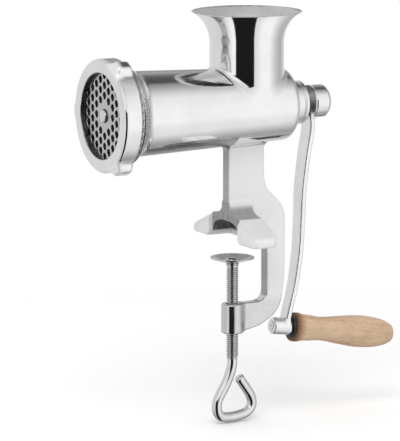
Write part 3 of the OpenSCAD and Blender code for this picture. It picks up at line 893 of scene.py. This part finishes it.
def satin_share(x, y, z):
    """The clamp frame and the hopper's inside are satin. The lower arm is polished like the barrel."""
    clamp = grows(SATIN_SKIN - clamp_field(x, y, z), 1) * grows(z - THROAT_Z - 2, ARM_FADE)
    return np.maximum(clamp, HOPPER_SATIN * hopper_share(x, y, z))


def fleck_share(x, y, z):
    """Small dull flecks round the barrel's axis."""
    turn = np.arctan2(y, z - AXIS_Z)
    waves = np.sin(61 * turn + 1.1 * x) * np.sin(97 * turn - 1.7 * x)
    return FLECK_RAW * np.clip(0.5 + 0.9 * waves, 0, 1)


def shade_and_dull_share(x, y, z):
    """Painted shade in the arch, on the skirt, on the front faces of jaw and neck, in the throat, in the
    roots of the barrel's thread and inside the hopper; the lower arm is darker towards its bottom, and the
    shoulder gets small dull flecks.
    """
    aside = np.abs(y)
    above_seat = z > -2
    arch = close_to(np.abs(arch_field(x, aside, z)), ARCH_SKIN) * grows(z - ARCH_BEVEL, 1.2)
    flank = FLANK_SHADE * close_to(np.abs(skirt_field(x, aside, z)), SKIN) * (x > NECK_FRONT + 0.8)
    jaw = np.maximum(arch, flank) * above_seat * (z < SKIRT_H + 2)
    front = np.where(z > SKIRT_H, NECK_FRONT_SHADE, JAW_FRONT_SHADE) * grows(NECK_FRONT + 1 - x, SKIN)
    front = front * above_seat * (aside < JAW_GAP - 0.5) * (z < AXIS_Z - 20)
    throat = THROAT_SHADE * grows(THROAT_X + 1 - x, SKIN) * (z > THROAT_Z + 4) * (z < -4)
    arm = ARM_DARKENING * grows(THROAT_Z + ARM_FADE - z, ARM_FADE)
    thread = THREAD_ROOT_SHADE * (x < THREAD_BACK) * (np.hypot(y, z - AXIS_Z) < THREAD_R - THREAD_DEPTH / 2)
    shoulder = fleck_share(x, y, z) * grows(CONE_END - x, 3) * (z > BARREL_FRONT_R)
    inside = HOPPER_SHADE * hopper_share(x, y, z)
    return np.max([jaw, front, throat, arm, thread, shoulder, inside], axis=0)


paint(casting, "satin", satin_share)
paint(casting, "dull_and_shade", shade_and_dull_share)

RING_PITCH = 2.0
THREAD_MARGIN = 1.2
ring_ridge = ridge(THREAD_R - THREAD_DEPTH - 0.3, THREAD_R, 0.85, 0.2)
barrel_thread = built("barrel_thread", helix(
    ring_ridge, RING_PITCH, MOUTH_X + THREAD_MARGIN, THREAD_BACK - THREAD_MARGIN, per_turn=120,
), ALONG_BARREL)
dress(barrel_thread, "grinder_body", "polished_casting", POLISHED)
paint(barrel_thread, "dull_and_shade", fleck_share)


# Ring nut and hole plate

ring_low, ring_high = node_box("ring_nut")
plate_low, plate_high = node_box("grinding_plate")
PLATE_R = (plate_high[2] - plate_low[2]) / 2
MOUTH_R = PLATE_R - 3
RING_R = 42.5
RING_EDGE = 3
LIP_BEVEL = 0.6
LOBE_R = RING_R + 4.5
LOBE_HALF = 6
LOBE_CROWN = 4
LOBE_BACK = 1.2
LOBE_FILLET = 3
LOBE_ANGLES = [radians(a) for a in (90, -30, -150)]
ring_outline = outline_field(rounded([
    (ring_low[0], PAST_AXIS),
    (ring_low[0], RING_R, RING_EDGE),
    (ring_high[0], RING_R, 1.5),
    (ring_high[0], PAST_AXIS),
]))
ring_hole = outline_field(rounded([
    (ring_low[0] - PAST_FACE, PAST_AXIS),
    (ring_low[0] - PAST_FACE, MOUTH_R + LIP_BEVEL + PAST_FACE),
    (ring_low[0] + LIP_BEVEL, MOUTH_R, 0.8),
    (plate_low[0], MOUTH_R),
    (plate_low[0], THREAD_R + PLAY),
    (ring_high[0] + PAST_FACE, THREAD_R + PLAY),
    (ring_high[0] + PAST_FACE, PAST_AXIS),
]))


def lobe_axes(y, z):
    """How far out along each lobe a point lies, and how far to its side."""
    up = z - AXIS_Z
    for a in LOBE_ANGLES:
        yield y * sin(a) + up * cos(a), np.abs(y * cos(a) - up * sin(a))


def ring_field(x, y, z):
    from_axis = np.hypot(y, z - AXIS_Z)
    body = ring_outline(x, from_axis)
    length = slab(x, ring_low[0] + LOBE_BACK, ring_high[0])
    for out, side in lobe_axes(y, z):
        lobe = meet(side - LOBE_HALF, np.maximum(out - LOBE_R, -out), LOBE_CROWN)
        body = join(body, meet(lobe, length, RING_EDGE), LOBE_FILLET)
    return cut(body, ring_hole(x, from_axis), INNER_EDGE)


def mouth_shade_share(x, y, z):
    """The wall of the ring's mouth is dull and gets painted shade."""
    return grows(MOUTH_R + 0.5 - np.hypot(y, z - AXIS_Z), 0.4)


def lobe_share(x, y, z):
    """The fillets at the lobes' front ends are satin."""
    near = 0
    for out, side in lobe_axes(y, z):
        near = np.maximum(near, (out > 0) * grows(LOBE_HALF + 5 - side, 2))
    outer = grows(np.hypot(y, z - AXIS_Z) - RING_R + RING_EDGE, 1.5)
    return LOBE_SATIN * near * outer * grows(ring_low[0] + 7 - x, 3)


ring_nut = solid("ring_nut_cast", ring_field, ring_low, ring_high, step=0.8)
dress(ring_nut, "ring", "polished_casting", POLISHED, "ring_nut")
paint(ring_nut, "dull_and_shade", mouth_shade_share)
paint(ring_nut, "satin", lobe_share)

HOLE_R = 2.7
HOLE_PITCH = 7.6
HOLE_EDGE = 0.35
PIN_R = 5.05
HUB_R = 1.1 * HOLE_PITCH
FIELD_R = PLATE_R - 4.5
PLATE_EDGE = 0.5
SLOT_HALF = 2.2
SLOT_DEPTH = 3
hole_centres = [
    (HOLE_PITCH * column * sqrt(0.75), -HOLE_PITCH * (row + column / 2))
    for column in range(-5, 6) for row in range(-10, 11)
]
hole_centres = [c for c in hole_centres if HUB_R < hypot(*c) <= FIELD_R]


def plate_field(x, y, z):
    up = z - AXIS_Z
    disc = meet(np.hypot(y, up) - PLATE_R, slab(x, plate_low[0], plate_high[0]), PLATE_EDGE)
    holes = np.hypot(y, up) - PIN_R
    for cy, cz in hole_centres:
        holes = np.minimum(holes, np.hypot(y - cy, up - cz) - HOLE_R)
    key_slot = np.maximum(np.abs(y) - SLOT_HALF, PLATE_R - SLOT_DEPTH - up)
    return cut(disc, np.minimum(holes, key_slot), HOLE_EDGE)


plate = solid("hole_plate", plate_field, plate_low, plate_high, step=0.55)
dress(plate, "plate", "steel", GROUND, "grinding_plate")

# The stud's pin stands a little proud of the plate, and starts just inside it.
PIN_PROUD = 1.9
pin_end = plate_low[0] - PIN_PROUD
pin_start = plate_low[0] + 0.5
pin_r = PIN_R - 0.15
stud_tip = lathed("stud_tip", ALONG_BARREL, [
    (0, pin_end),
    (PIN_R - 0.6, pin_end, 0.8),
    (pin_r, pin_end + 1, 0.3),
    (pin_r, pin_start),
    (0, pin_start),
], segments=64)
dress(stud_tip, "crank", "steel", PLATED)
# The pin's side behind its rounded end gets painted shade, as in the gap round it.
paint(stud_tip, "dull_and_shade", lambda x, y, z: PIN_SHADE * grows(x - pin_end - 0.6, 0.5))


# Feed screw

screw_low, screw_high = node_box("feed_screw")
CORE_R = 12
FLANGE_R = 16.5
FLANGE_X = screw_high[0] - 8
FLIGHT_PITCH = 34
FLIGHT_MARGIN = 3
FLIGHT_PLAY = 0.8
FLIGHT_STEPS = 72
flight_start = screw_low[0] + FLIGHT_MARGIN
flight_end = FLANGE_X - FLIGHT_MARGIN


def flight():
    """Left-hand flight whose edge follows the tapered bore."""
    turns = (flight_end - flight_start) / FLIGHT_PITCH
    count = int(turns * FLIGHT_STEPS)
    sections = []
    for i in range(count + 1):
        turn = turns * i / count
        x = flight_start + turn * FLIGHT_PITCH
        a = -2 * pi * turn
        reach = np.interp(x, [KNIFE_SEAT_X, REAR_IN], [BORE_FRONT_R, BORE_REAR_R]) - FLIGHT_PLAY
        # Half its thickness from root to edge.
        section = smooth([(CORE_R - 1, 3), (CORE_R + 3, 1.9), (reach - 1, 1.5), (reach, 1.0)], 3).tolist()
        section += [(r, -w) for r, w in section[::-1]]
        sections.append([(r * cos(a), r * sin(a), x + w) for r, w in section])
    return swept(sections)


core = revolved(rounded([
    (0, screw_low[0]),
    (CORE_R, screw_low[0], 0.8),
    (CORE_R, FLANGE_X, 2),
    (FLANGE_R, FLANGE_X, 1),
    (FLANGE_R, screw_high[0], 0.6),
    (0, screw_high[0]),
], closed=False))
feed_screw = built("feed_screw_cast", merged(core, flight()), ALONG_BARREL)
dress(feed_screw, "crank", "turned_metal", TURNED, "feed_screw")


# Rear collar and crank

bush_low, bush_high = node_box("rear_bush")
arm_low, arm_high = node_box("crank_arm")
knob_low, knob_high = node_box("crank_knob")
COLLAR_R = (bush_high[2] - bush_low[2]) / 2
COLLAR_END = bush_high[0]
SLEEVE_R = 11
# The collar's groove: the radius of its floor, and where it lies before the collar's end.
GROOVE_R = COLLAR_R - 0.8
GROOVE = (4.2, 3.8, 3.0, 2.6)
collar = lathed("rear_collar", ALONG_BARREL, [
    (SLEEVE_R, REAR_IN),
    (SPIGOT_R, REAR_IN),
    (SPIGOT_R, REAR_X),
    (COLLAR_R, REAR_X, 0.5),
    (COLLAR_R, COLLAR_END - GROOVE[0], 0.3),
    (GROOVE_R, COLLAR_END - GROOVE[1], 0.3),
    (GROOVE_R, COLLAR_END - GROOVE[2], 0.3),
    (COLLAR_R, COLLAR_END - GROOVE[3], 0.3),
    (COLLAR_R, COLLAR_END, 0.8),
    (SLEEVE_R, COLLAR_END),
], closed=True)
dress(collar, "grinder_body", "turned_metal", TURNED, "rear_bush")

EYE_R = 12.9
EYE_BACK = knob_low[0]
EYE_FRONT = EYE_BACK - 7.7
EYE_MID = (EYE_FRONT + EYE_BACK) / 2
EYE_EDGE = 0.8
EYE_FILLET = 3
HUB_TAPER = 3
# Keeps the tapered hub's field close to a true distance.
HUB_SLOPE = 0.93
KNOB_R = (knob_high[2] - knob_low[2]) / 2
ARM_T = 4.2
ARM_EDGE = 1.1
ARM_TOP_HALF = 8
ARM_END_HALF = 5.5
ARM_BOW = 3.4
REACH = AXIS_Z - BOSS[2]
# Shares of the reach, of the bow below the hub and of the sway over to the boss.
ARM_STATIONS = [
    (0, 0, 0), (0.1, 1, 0), (0.23, 0, 0), (0.38, 0, 0.19), (0.52, 0, 0.25), (0.66, 0, 0.33),
    (0.81, 0, 0.55), (0.93, 0, 0.85), (1, 0, 1),
]
arm_route = smooth([
    (EYE_MID + bow * ARM_BOW + sway * (BOSS[0] - EYE_MID), AXIS_Z - share * REACH)
    for share, bow, sway in ARM_STATIONS
])
arm_side = outline_field(band(arm_route, ARM_T))
BOSS_R = 6.5
BOSS_IN = 11
BOSS_FILLET = 2.5
BOLT_HOLE_R = 3.55
NUT_PLAY = 0.3
SQUARE_HALF = 6.35


def crank_field(x, y, z):
    from_axis = np.hypot(y, z - AXIS_Z)
    share = grows(AXIS_Z - z, REACH)
    half = ARM_TOP_HALF + (ARM_END_HALF - ARM_TOP_HALF) * share
    strip = meet(arm_side(x, z), np.abs(y) - half, ARM_EDGE)
    taper = HUB_TAPER * grows(EYE_BACK - x, EYE_BACK - EYE_FRONT)
    hub_side = HUB_SLOPE * (from_axis - EYE_R + taper)
    hub = meet(hub_side, slab(x, EYE_FRONT, EYE_BACK), EYE_EDGE)
    u, w = x - BOSS[0], z - BOSS[2]
    along = u * HANDLE_AXIS[0] + w * HANDLE_AXIS[2]
    across = np.hypot(u * HANDLE_AXIS[2] - w * HANDLE_AXIS[0], y)
    boss = meet(across - BOSS_R, slab(along, -BOSS_IN, BOSS_OUT), 1.0)
    arm = join(join(strip, hub, EYE_FILLET), boss, BOSS_FILLET)
    nut_face = np.maximum(from_axis - KNOB_R - NUT_PLAY, EYE_BACK - x)
    square = np.maximum(np.abs(y), np.abs(z - AXIS_Z)) - SQUARE_HALF
    arm = cut(arm, np.minimum(nut_face, square), 0.4)
    return cut(arm, across - BOLT_HOLE_R, 0.25)


def hub_shade_share(x, y, z):
    """Painted shade on the hub's narrow side between collar and cap nut."""
    outside = grows(np.hypot(y, z - AXIS_Z) - EYE_R + HUB_TAPER + 1.5, 1)
    return HUB_SHADE * outside * grows(z - AXIS_Z + 9, 3)


crank_arm = solid("crank_arm_cast", crank_field, arm_low, arm_high, step=0.8)
dress(crank_arm, "crank", "polished_casting", POLISHED, "crank_arm")
paint(crank_arm, "dull_and_shade", hub_shade_share)

KNOB_END = knob_high[0]
KNOB_STEP = 0.8
cap_nut = lathed("cap_nut", ALONG_BARREL, [
    (0, EYE_BACK),
    (KNOB_R - KNOB_STEP, EYE_BACK, 0.3),
    (KNOB_R - KNOB_STEP, EYE_BACK + 0.9, 0.3),
    (KNOB_R, EYE_BACK + 1.6, 0.5),
    (KNOB_R, KNOB_END - 3.4, 1.2),
    (KNOB_R - 2.6, KNOB_END - 0.6, 1.2),
    (KNOB_R - 4.5, KNOB_END, 1),
    (0, KNOB_END),
])
dress(cap_nut, "crank", "polished_casting", POLISHED, "crank_knob")


# Handle

GRIP_START = BOSS_OUT + 1.5
GRIP_LEN = 88
GRIP_START_R = 11.2
SPINDLE_R = 3.5
SPINDLE_HOLE_R = SPINDLE_R + PLAY
HEAD_R = 5.5
HEAD_SEAT_R = HEAD_R + 0.3
HEAD_SEAT = GRIP_LEN - 6
CENTRE_MARK_R = 1.1
# Radius along the grip, by the share of its length.
GRIP_PROFILE = [
    (GRIP_START_R, 0.03), (GRIP_START_R - 0.1, 0.06), (GRIP_START_R - 0.9, 0.1), (GRIP_START_R - 1.4, 0.18),
    (9.1, 0.3), (10.9, 0.48), (12.3, 0.66), (11.5, 0.83), (9.6, 0.93), (HEAD_SEAT_R + 1.8, 0.985),
]
grip_outline = np.vstack([
    [(SPINDLE_HOLE_R, 2), (8.9, 2), (9.6, 0.2), (GRIP_START_R - 0.9, 0), (GRIP_START_R - 0.25, 0.6)],
    smooth([(r, share * GRIP_LEN) for r, share in GRIP_PROFILE], 8),
    [(HEAD_SEAT_R + 0.9, GRIP_LEN), (HEAD_SEAT_R, GRIP_LEN - 0.3)],
    [(HEAD_SEAT_R, HEAD_SEAT), (SPINDLE_HOLE_R, HEAD_SEAT)],
])
grip = built("wooden_grip", revolved(grip_outline + np.array([0, GRIP_START])), ALONG_HANDLE)
dress(grip, "grip", "wood", WOOD, "handle_grip")
# The polished metal doesn't mirror the grip.
grip.visible_glossy = False

bolt_end = -BOSS_IN - 0.3
head_z = GRIP_START + HEAD_SEAT + 0.3
head_top = head_z + 4
spindle = lathed("handle_bolt", ALONG_HANDLE, [
    (0, bolt_end + 1),
    (CENTRE_MARK_R, bolt_end),
    (SPINDLE_R, bolt_end, 0.4),
    (SPINDLE_R, head_z, 0.4),
    (HEAD_R, head_z, 0.3),
    (HEAD_R, head_z + 2.6, 0.8),
    (HEAD_R - 2.4, head_top, 1),
    (0, head_top),
], segments=48)
dress(spindle, "crank", "steel", PLATED, "handle_spindle")

WASHER_R = 8.5
WASHER_END = BOSS_OUT + 1.2
washer = lathed("grip_washer_ring", ALONG_HANDLE, [
    (SPINDLE_R, BOSS_OUT),
    (WASHER_R, BOSS_OUT, 0.4),
    (WASHER_R, WASHER_END, 0.4),
    (SPINDLE_R, WASHER_END),
], closed=True)
# The washer's near black finish is painted shade.
dress(washer, "crank", "steel", WASHER_SHADE_STEEL, "grip_washer")


# Clamp screw and its disc

disc_low, disc_high = node_box("pressure_disc")
DISC_R = (disc_high[0] - disc_low[0]) / 2
DISC_TOP = disc_high[2]
DISC_BOTTOM = disc_low[2]
DISH_FLOOR = DISC_TOP - 2
NECK_R = 4
RIVET_R = 5.5
disc = lathed("clamp_disc", UPRIGHT, [
    (NECK_R + PLAY, DISC_BOTTOM),
    (SCREW_R, DISC_BOTTOM, 0.3),
    (SCREW_R + 0.4, DISC_BOTTOM + 1.8, 0.6),
    (DISC_R, DISC_TOP - 1, 0.3),
    (DISC_R, DISC_TOP, 0.3),
    (DISC_R - 2, DISC_TOP, 0.8),
    (RIVET_R + 1, DISH_FLOOR, 2),
    (NECK_R + PLAY, DISH_FLOOR),
], closed=True)
dress(disc, "disc", "plated_steel", PLATED, "pressure_disc")
paint(disc, "dull_and_shade", lambda x, y, z: np.where(np.hypot(x, y) < DISC_R - 0.6, DISC_RAW, DISC_RIM_RAW))

THREAD_TOP = DISC_BOTTOM - 0.3
THREAD_END = DISC_BOTTOM - 72
SCREW_PITCH = 1.6
SCREW_DEPTH = 0.95
SCREW_ROOT_R = SCREW_R - SCREW_DEPTH
SHOULDER_R = SCREW_R - 0.2
RIVET_SEAT = DISH_FLOOR + 0.3
RIVET_TOP = DISH_FLOOR + 1.5
ROD_R = 3.9
screw_core = revolved(rounded([
    (0, THREAD_END - 1),
    (ROD_R, THREAD_END - 1),
    (SCREW_ROOT_R, THREAD_END + 0.5),
    (SCREW_ROOT_R, THREAD_TOP - 1.2),
    (SHOULDER_R, THREAD_TOP - 0.9),
    (SHOULDER_R, THREAD_TOP),
    (NECK_R, THREAD_TOP),
    (NECK_R, RIVET_SEAT),
    (RIVET_R, RIVET_SEAT),
    (RIVET_R - 0.4, DISH_FLOOR + 0.9, 0.3),
    (RIVET_R - 2, RIVET_TOP, 0.6),
    (0, RIVET_TOP),
], closed=False), 48)
screw_ridge = helix(
    ridge(SCREW_ROOT_R - 0.2, SCREW_R, 0.68, 0.12), SCREW_PITCH, THREAD_END + 0.8, THREAD_TOP - 1.6,
)
LOOP_TURN = radians(8)
LOOP_ROUTE = [
    (0, THREAD_END + 1), (0, THREAD_END - 4), (-1.2, -100.8), (-5.2, -109.6), (-10.4, -117.6),
    (-13.8, -123.6), (-14.4, -128.2), (-13.5, -132.4), (-9.5, -135.8), (-2.1, -137), (5.8, -136.7),
    (13.2, -135.2), (17.5, -131.8), (18.6, -127), (16.6, -121.2), (12.2, -115), (6.9, -108),
]
loop_points, loop_faces = tube(smooth(LOOP_ROUTE, 6), ROD_R)
loop = placed(np.array(Matrix.Rotation(LOOP_TURN, 4, "Z")), loop_points), loop_faces


def root_shade_share(x, y, z):
    """Painted shade in the roots of the screw's thread."""
    return SCREW_ROOT_SHADE * grows(SCREW_R - 0.35 - np.hypot(x, y), 0.4) * (z > THREAD_END)


screw = built("clamp_screw_rod", merged(screw_core, screw_ridge, loop))
dress(screw, "screw", "plated_steel", PLATED, "clamp_screw")
paint(screw, "dull_and_shade", root_shade_share)


# Inner pieces keep their CAD shape and get their finish

INNER_FINISHES = {
    SLEEVE_PLASTIC: ("bearing_sleeve", "thrust_washer"),
    GROUND: ("plate_key", "drive_shank", "knife_stud", "knife"),
}
for material, nodes in INNER_FINISHES.items():
    for node in nodes:
        slots = frame["nodes"][node].data.materials
        slots.clear()
        slots.append(material)


# Studio: pale floor, soft light and a camera at the photographed angle, in metres

scene = bpy.context.scene
scene.view_settings.view_transform = "Standard"

FLOOR_Z = cad_box[0][2] - 0.001
FLOOR_R = 0.55
FLOOR_SIDES = 64
FLOOR_TONE = 0.88
FLOOR_ROUGH = 0.9
WORLD_STRENGTH = 1.0


def stage_mesh(name, points, faces, material):
    mesh = bpy.data.meshes.new(name)
    mesh.from_pydata(points, [], faces)
    mesh.materials.append(material)
    piece = bpy.data.objects.new(name, mesh)
    scene.collection.objects.link(piece)
    return piece


# Pale matt floor and plain white surroundings.
floor_look = Nodes("floor")
floor_look.shader.inputs["Base Color"].default_value = grey(FLOOR_TONE)
floor_look.shader.inputs["Roughness"].default_value = FLOOR_ROUGH
floor_angles = np.arange(FLOOR_SIDES) * 2 * pi / FLOOR_SIDES
floor_rim = [(FLOOR_R * cos(a), FLOOR_R * sin(a), FLOOR_Z) for a in floor_angles]
floor = stage_mesh("floor", floor_rim, [list(range(FLOOR_SIDES))], floor_look.material)
# The polished metal mirrors the light tent instead of the floor.
floor.visible_glossy = False
world = bpy.data.worlds.new("studio")
world.use_nodes = True
scene.world = world
background = world.node_tree.nodes["Background"]
background.inputs["Color"].default_value = grey(1)
background.inputs["Strength"].default_value = WORLD_STRENGTH

# Brightness of the light tent round the object: azimuth from -Y towards +X in degrees, then the tone.
TENT_ROUND = [
    (-90, 0.72), (-79, 0.85), (-70, 1.0), (-40, 1.0), (-6, 0.8), (4, 0.85),
    (18, 1.0), (45, 1.0), (55, 0.85), (68, 0.68), (83, 0.53), (99, 0.47), (126, 0.7), (176, 0.78),
    (205, 0.74), (237, 0.73), (248, 0.71), (259, 0.75), (269, 0.72),
]
# Share of that brightness that is left at a height, given as the sine of the elevation.
TENT_HEIGHT = [
    (-1, 0.7), (-0.86, 0.76), (-0.7, 0.84), (-0.48, 0.88), (-0.25, 1), (0.2, 1), (0.64, 0.9), (0.79, 0.72),
    (0.88, 0.63), (1, 0.55),
]
# The dim part above the crank's side: its tone by the same height, and where it starts along each axis.
TENT_DIM = [(0, 0.3), (0.22, 0.27), (0.57, 0.4), (0.75, 0.17), (0.84, 0.1), (1, 0.08)]
DIM_START = {"Y": (-0.05, 0.12), "Z": (0.1, 0.3), "X": (0.2, 0.38)}
# A dark strip below the back: its two sides, its upper end and its tone.
STRIP_NEAR = (0.26, 0.36)
STRIP_FAR = (0.56, 0.46)
STRIP_TOP = (-0.5, -0.62)
STRIP_TONE = 0.06
# The dark opening in front: a wedge along the photographed azimuth that starts behind the object, half its
# width per reach, the offset of its middle at the object and per reach, its soft edges and its tone.
VIEW_AZIMUTH = radians(-28)
OPENING_START = -0.64
OPENING_SPREAD = 0.32
OPENING_OFFSET = 0.04
OPENING_DRIFT = 0.06
OPENING_EDGE = (-0.01, 0.03)
OPENING_TOP = (0.32, 0.22)
OPENING_TONE = 0.012
TENT_R = 1.6


def tent_material():
    """Glow of the light tent: a ring of tones, dimmer above and below, with three dark places."""
    n = Nodes("light_tent")
    where = n.add("TexCoord").outputs["Object"]
    ray = n.add("VectorMath", {0: where}, operation="NORMALIZE").outputs[0]
    axes = n.add("SeparateXYZ", {0: ray}).outputs
    turn = n.add("TexGradient", {"Vector": ray}, gradient_type="RADIAL").outputs["Fac"]

    def soft(value, ends):
        return n.span(value, *ends, kind="SMOOTHSTEP")

    def times(a, b):
        return n.math("MULTIPLY", a, b)

    height = n.span(axes["Z"], -1, 1)
    ring = n.ramp(turn, *[((azimuth + 90) / 360, tone) for azimuth, tone in TENT_ROUND])
    share = n.ramp(height, *[((z + 1) / 2, tone) for z, tone in TENT_HEIGHT])
    tone = n.mixed(1.0, ring, share, "MULTIPLY")

    dim_tone = n.ramp(height, *[((z + 1) / 2, tone) for z, tone in TENT_DIM])
    above_y, above_z, above_x = [soft(axes[axis], ends) for axis, ends in DIM_START.items()]
    tone = n.mixed(times(times(above_y, above_z), above_x), tone, dim_tone)

    strip = times(soft(axes["Y"], STRIP_NEAR), soft(axes["Y"], STRIP_FAR))
    tone = n.mixed(times(strip, soft(axes["Z"], STRIP_TOP)), tone, grey(STRIP_TONE))

    sine, cosine = sin(VIEW_AZIMUTH), cos(VIEW_AZIMUTH)
    ahead = n.along(ray, (sine, -cosine, 0))
    middle = n.along(ray, (cosine + OPENING_DRIFT * sine, sine - OPENING_DRIFT * cosine, 0))
    aside = n.math("ABSOLUTE", n.math("ADD", middle, OPENING_OFFSET))
    half_width = times(n.math("ADD", ahead, -OPENING_START), OPENING_SPREAD)
    edge = n.math("SUBTRACT", half_width, aside)
    opening = times(soft(edge, OPENING_EDGE), soft(axes["Z"], OPENING_TOP))
    tone = n.mixed(opening, tone, grey(OPENING_TONE))
    glow = n.add("Emission", {"Color": tone, "Strength": 1.0}).outputs[0]
    n.tree.links.new(glow, n.tree.nodes["Material Output"].inputs["Surface"])
    return n.material


# The tent is a ball round the object that only mirrored rays see.
tent_angles = np.linspace(-pi / 2, pi / 2, 25)
tent_skin = revolved([(TENT_R * cos(a), TENT_R * sin(a)) for a in tent_angles], 48)
tent = stage_mesh("light_tent", *tent_skin, tent_material())
for rays in ("camera", "diffuse", "shadow", "transmission"):
    setattr(tent, "visible_" + rays, False)

KEY_PLACE = Vector((-0.7, -0.9, 1.3))
KEY_SIZE = 0.9
KEY_POWER = 10
key_data = bpy.data.lights.new("key", "AREA")
key_data.shape = "RECTANGLE"
key_data.size = KEY_SIZE
key_data.size_y = KEY_SIZE
key_data.energy = KEY_POWER
key = bpy.data.objects.new("key", key_data)
key.location = KEY_PLACE
key.rotation_euler = KEY_PLACE.to_track_quat("Z", "Y").to_euler()
scene.collection.objects.link(key)

CAMERA_PLACE = Vector((-1.3245, -2.4391, 0.4739))
CAMERA_TARGET = Vector((-0.02766, 0, 0.0166))
CAMERA_LENS = 304
CAMERA_SENSOR = 36
camera_data = bpy.data.cameras.new("camera")
camera_data.lens = CAMERA_LENS
camera_data.sensor_width = CAMERA_SENSOR
camera = bpy.data.objects.new("camera", camera_data)
camera.location = CAMERA_PLACE
camera.rotation_euler = (CAMERA_PLACE - CAMERA_TARGET).to_track_quat("Z", "Y").to_euler()
scene.collection.objects.link(camera)
scene.camera = camera
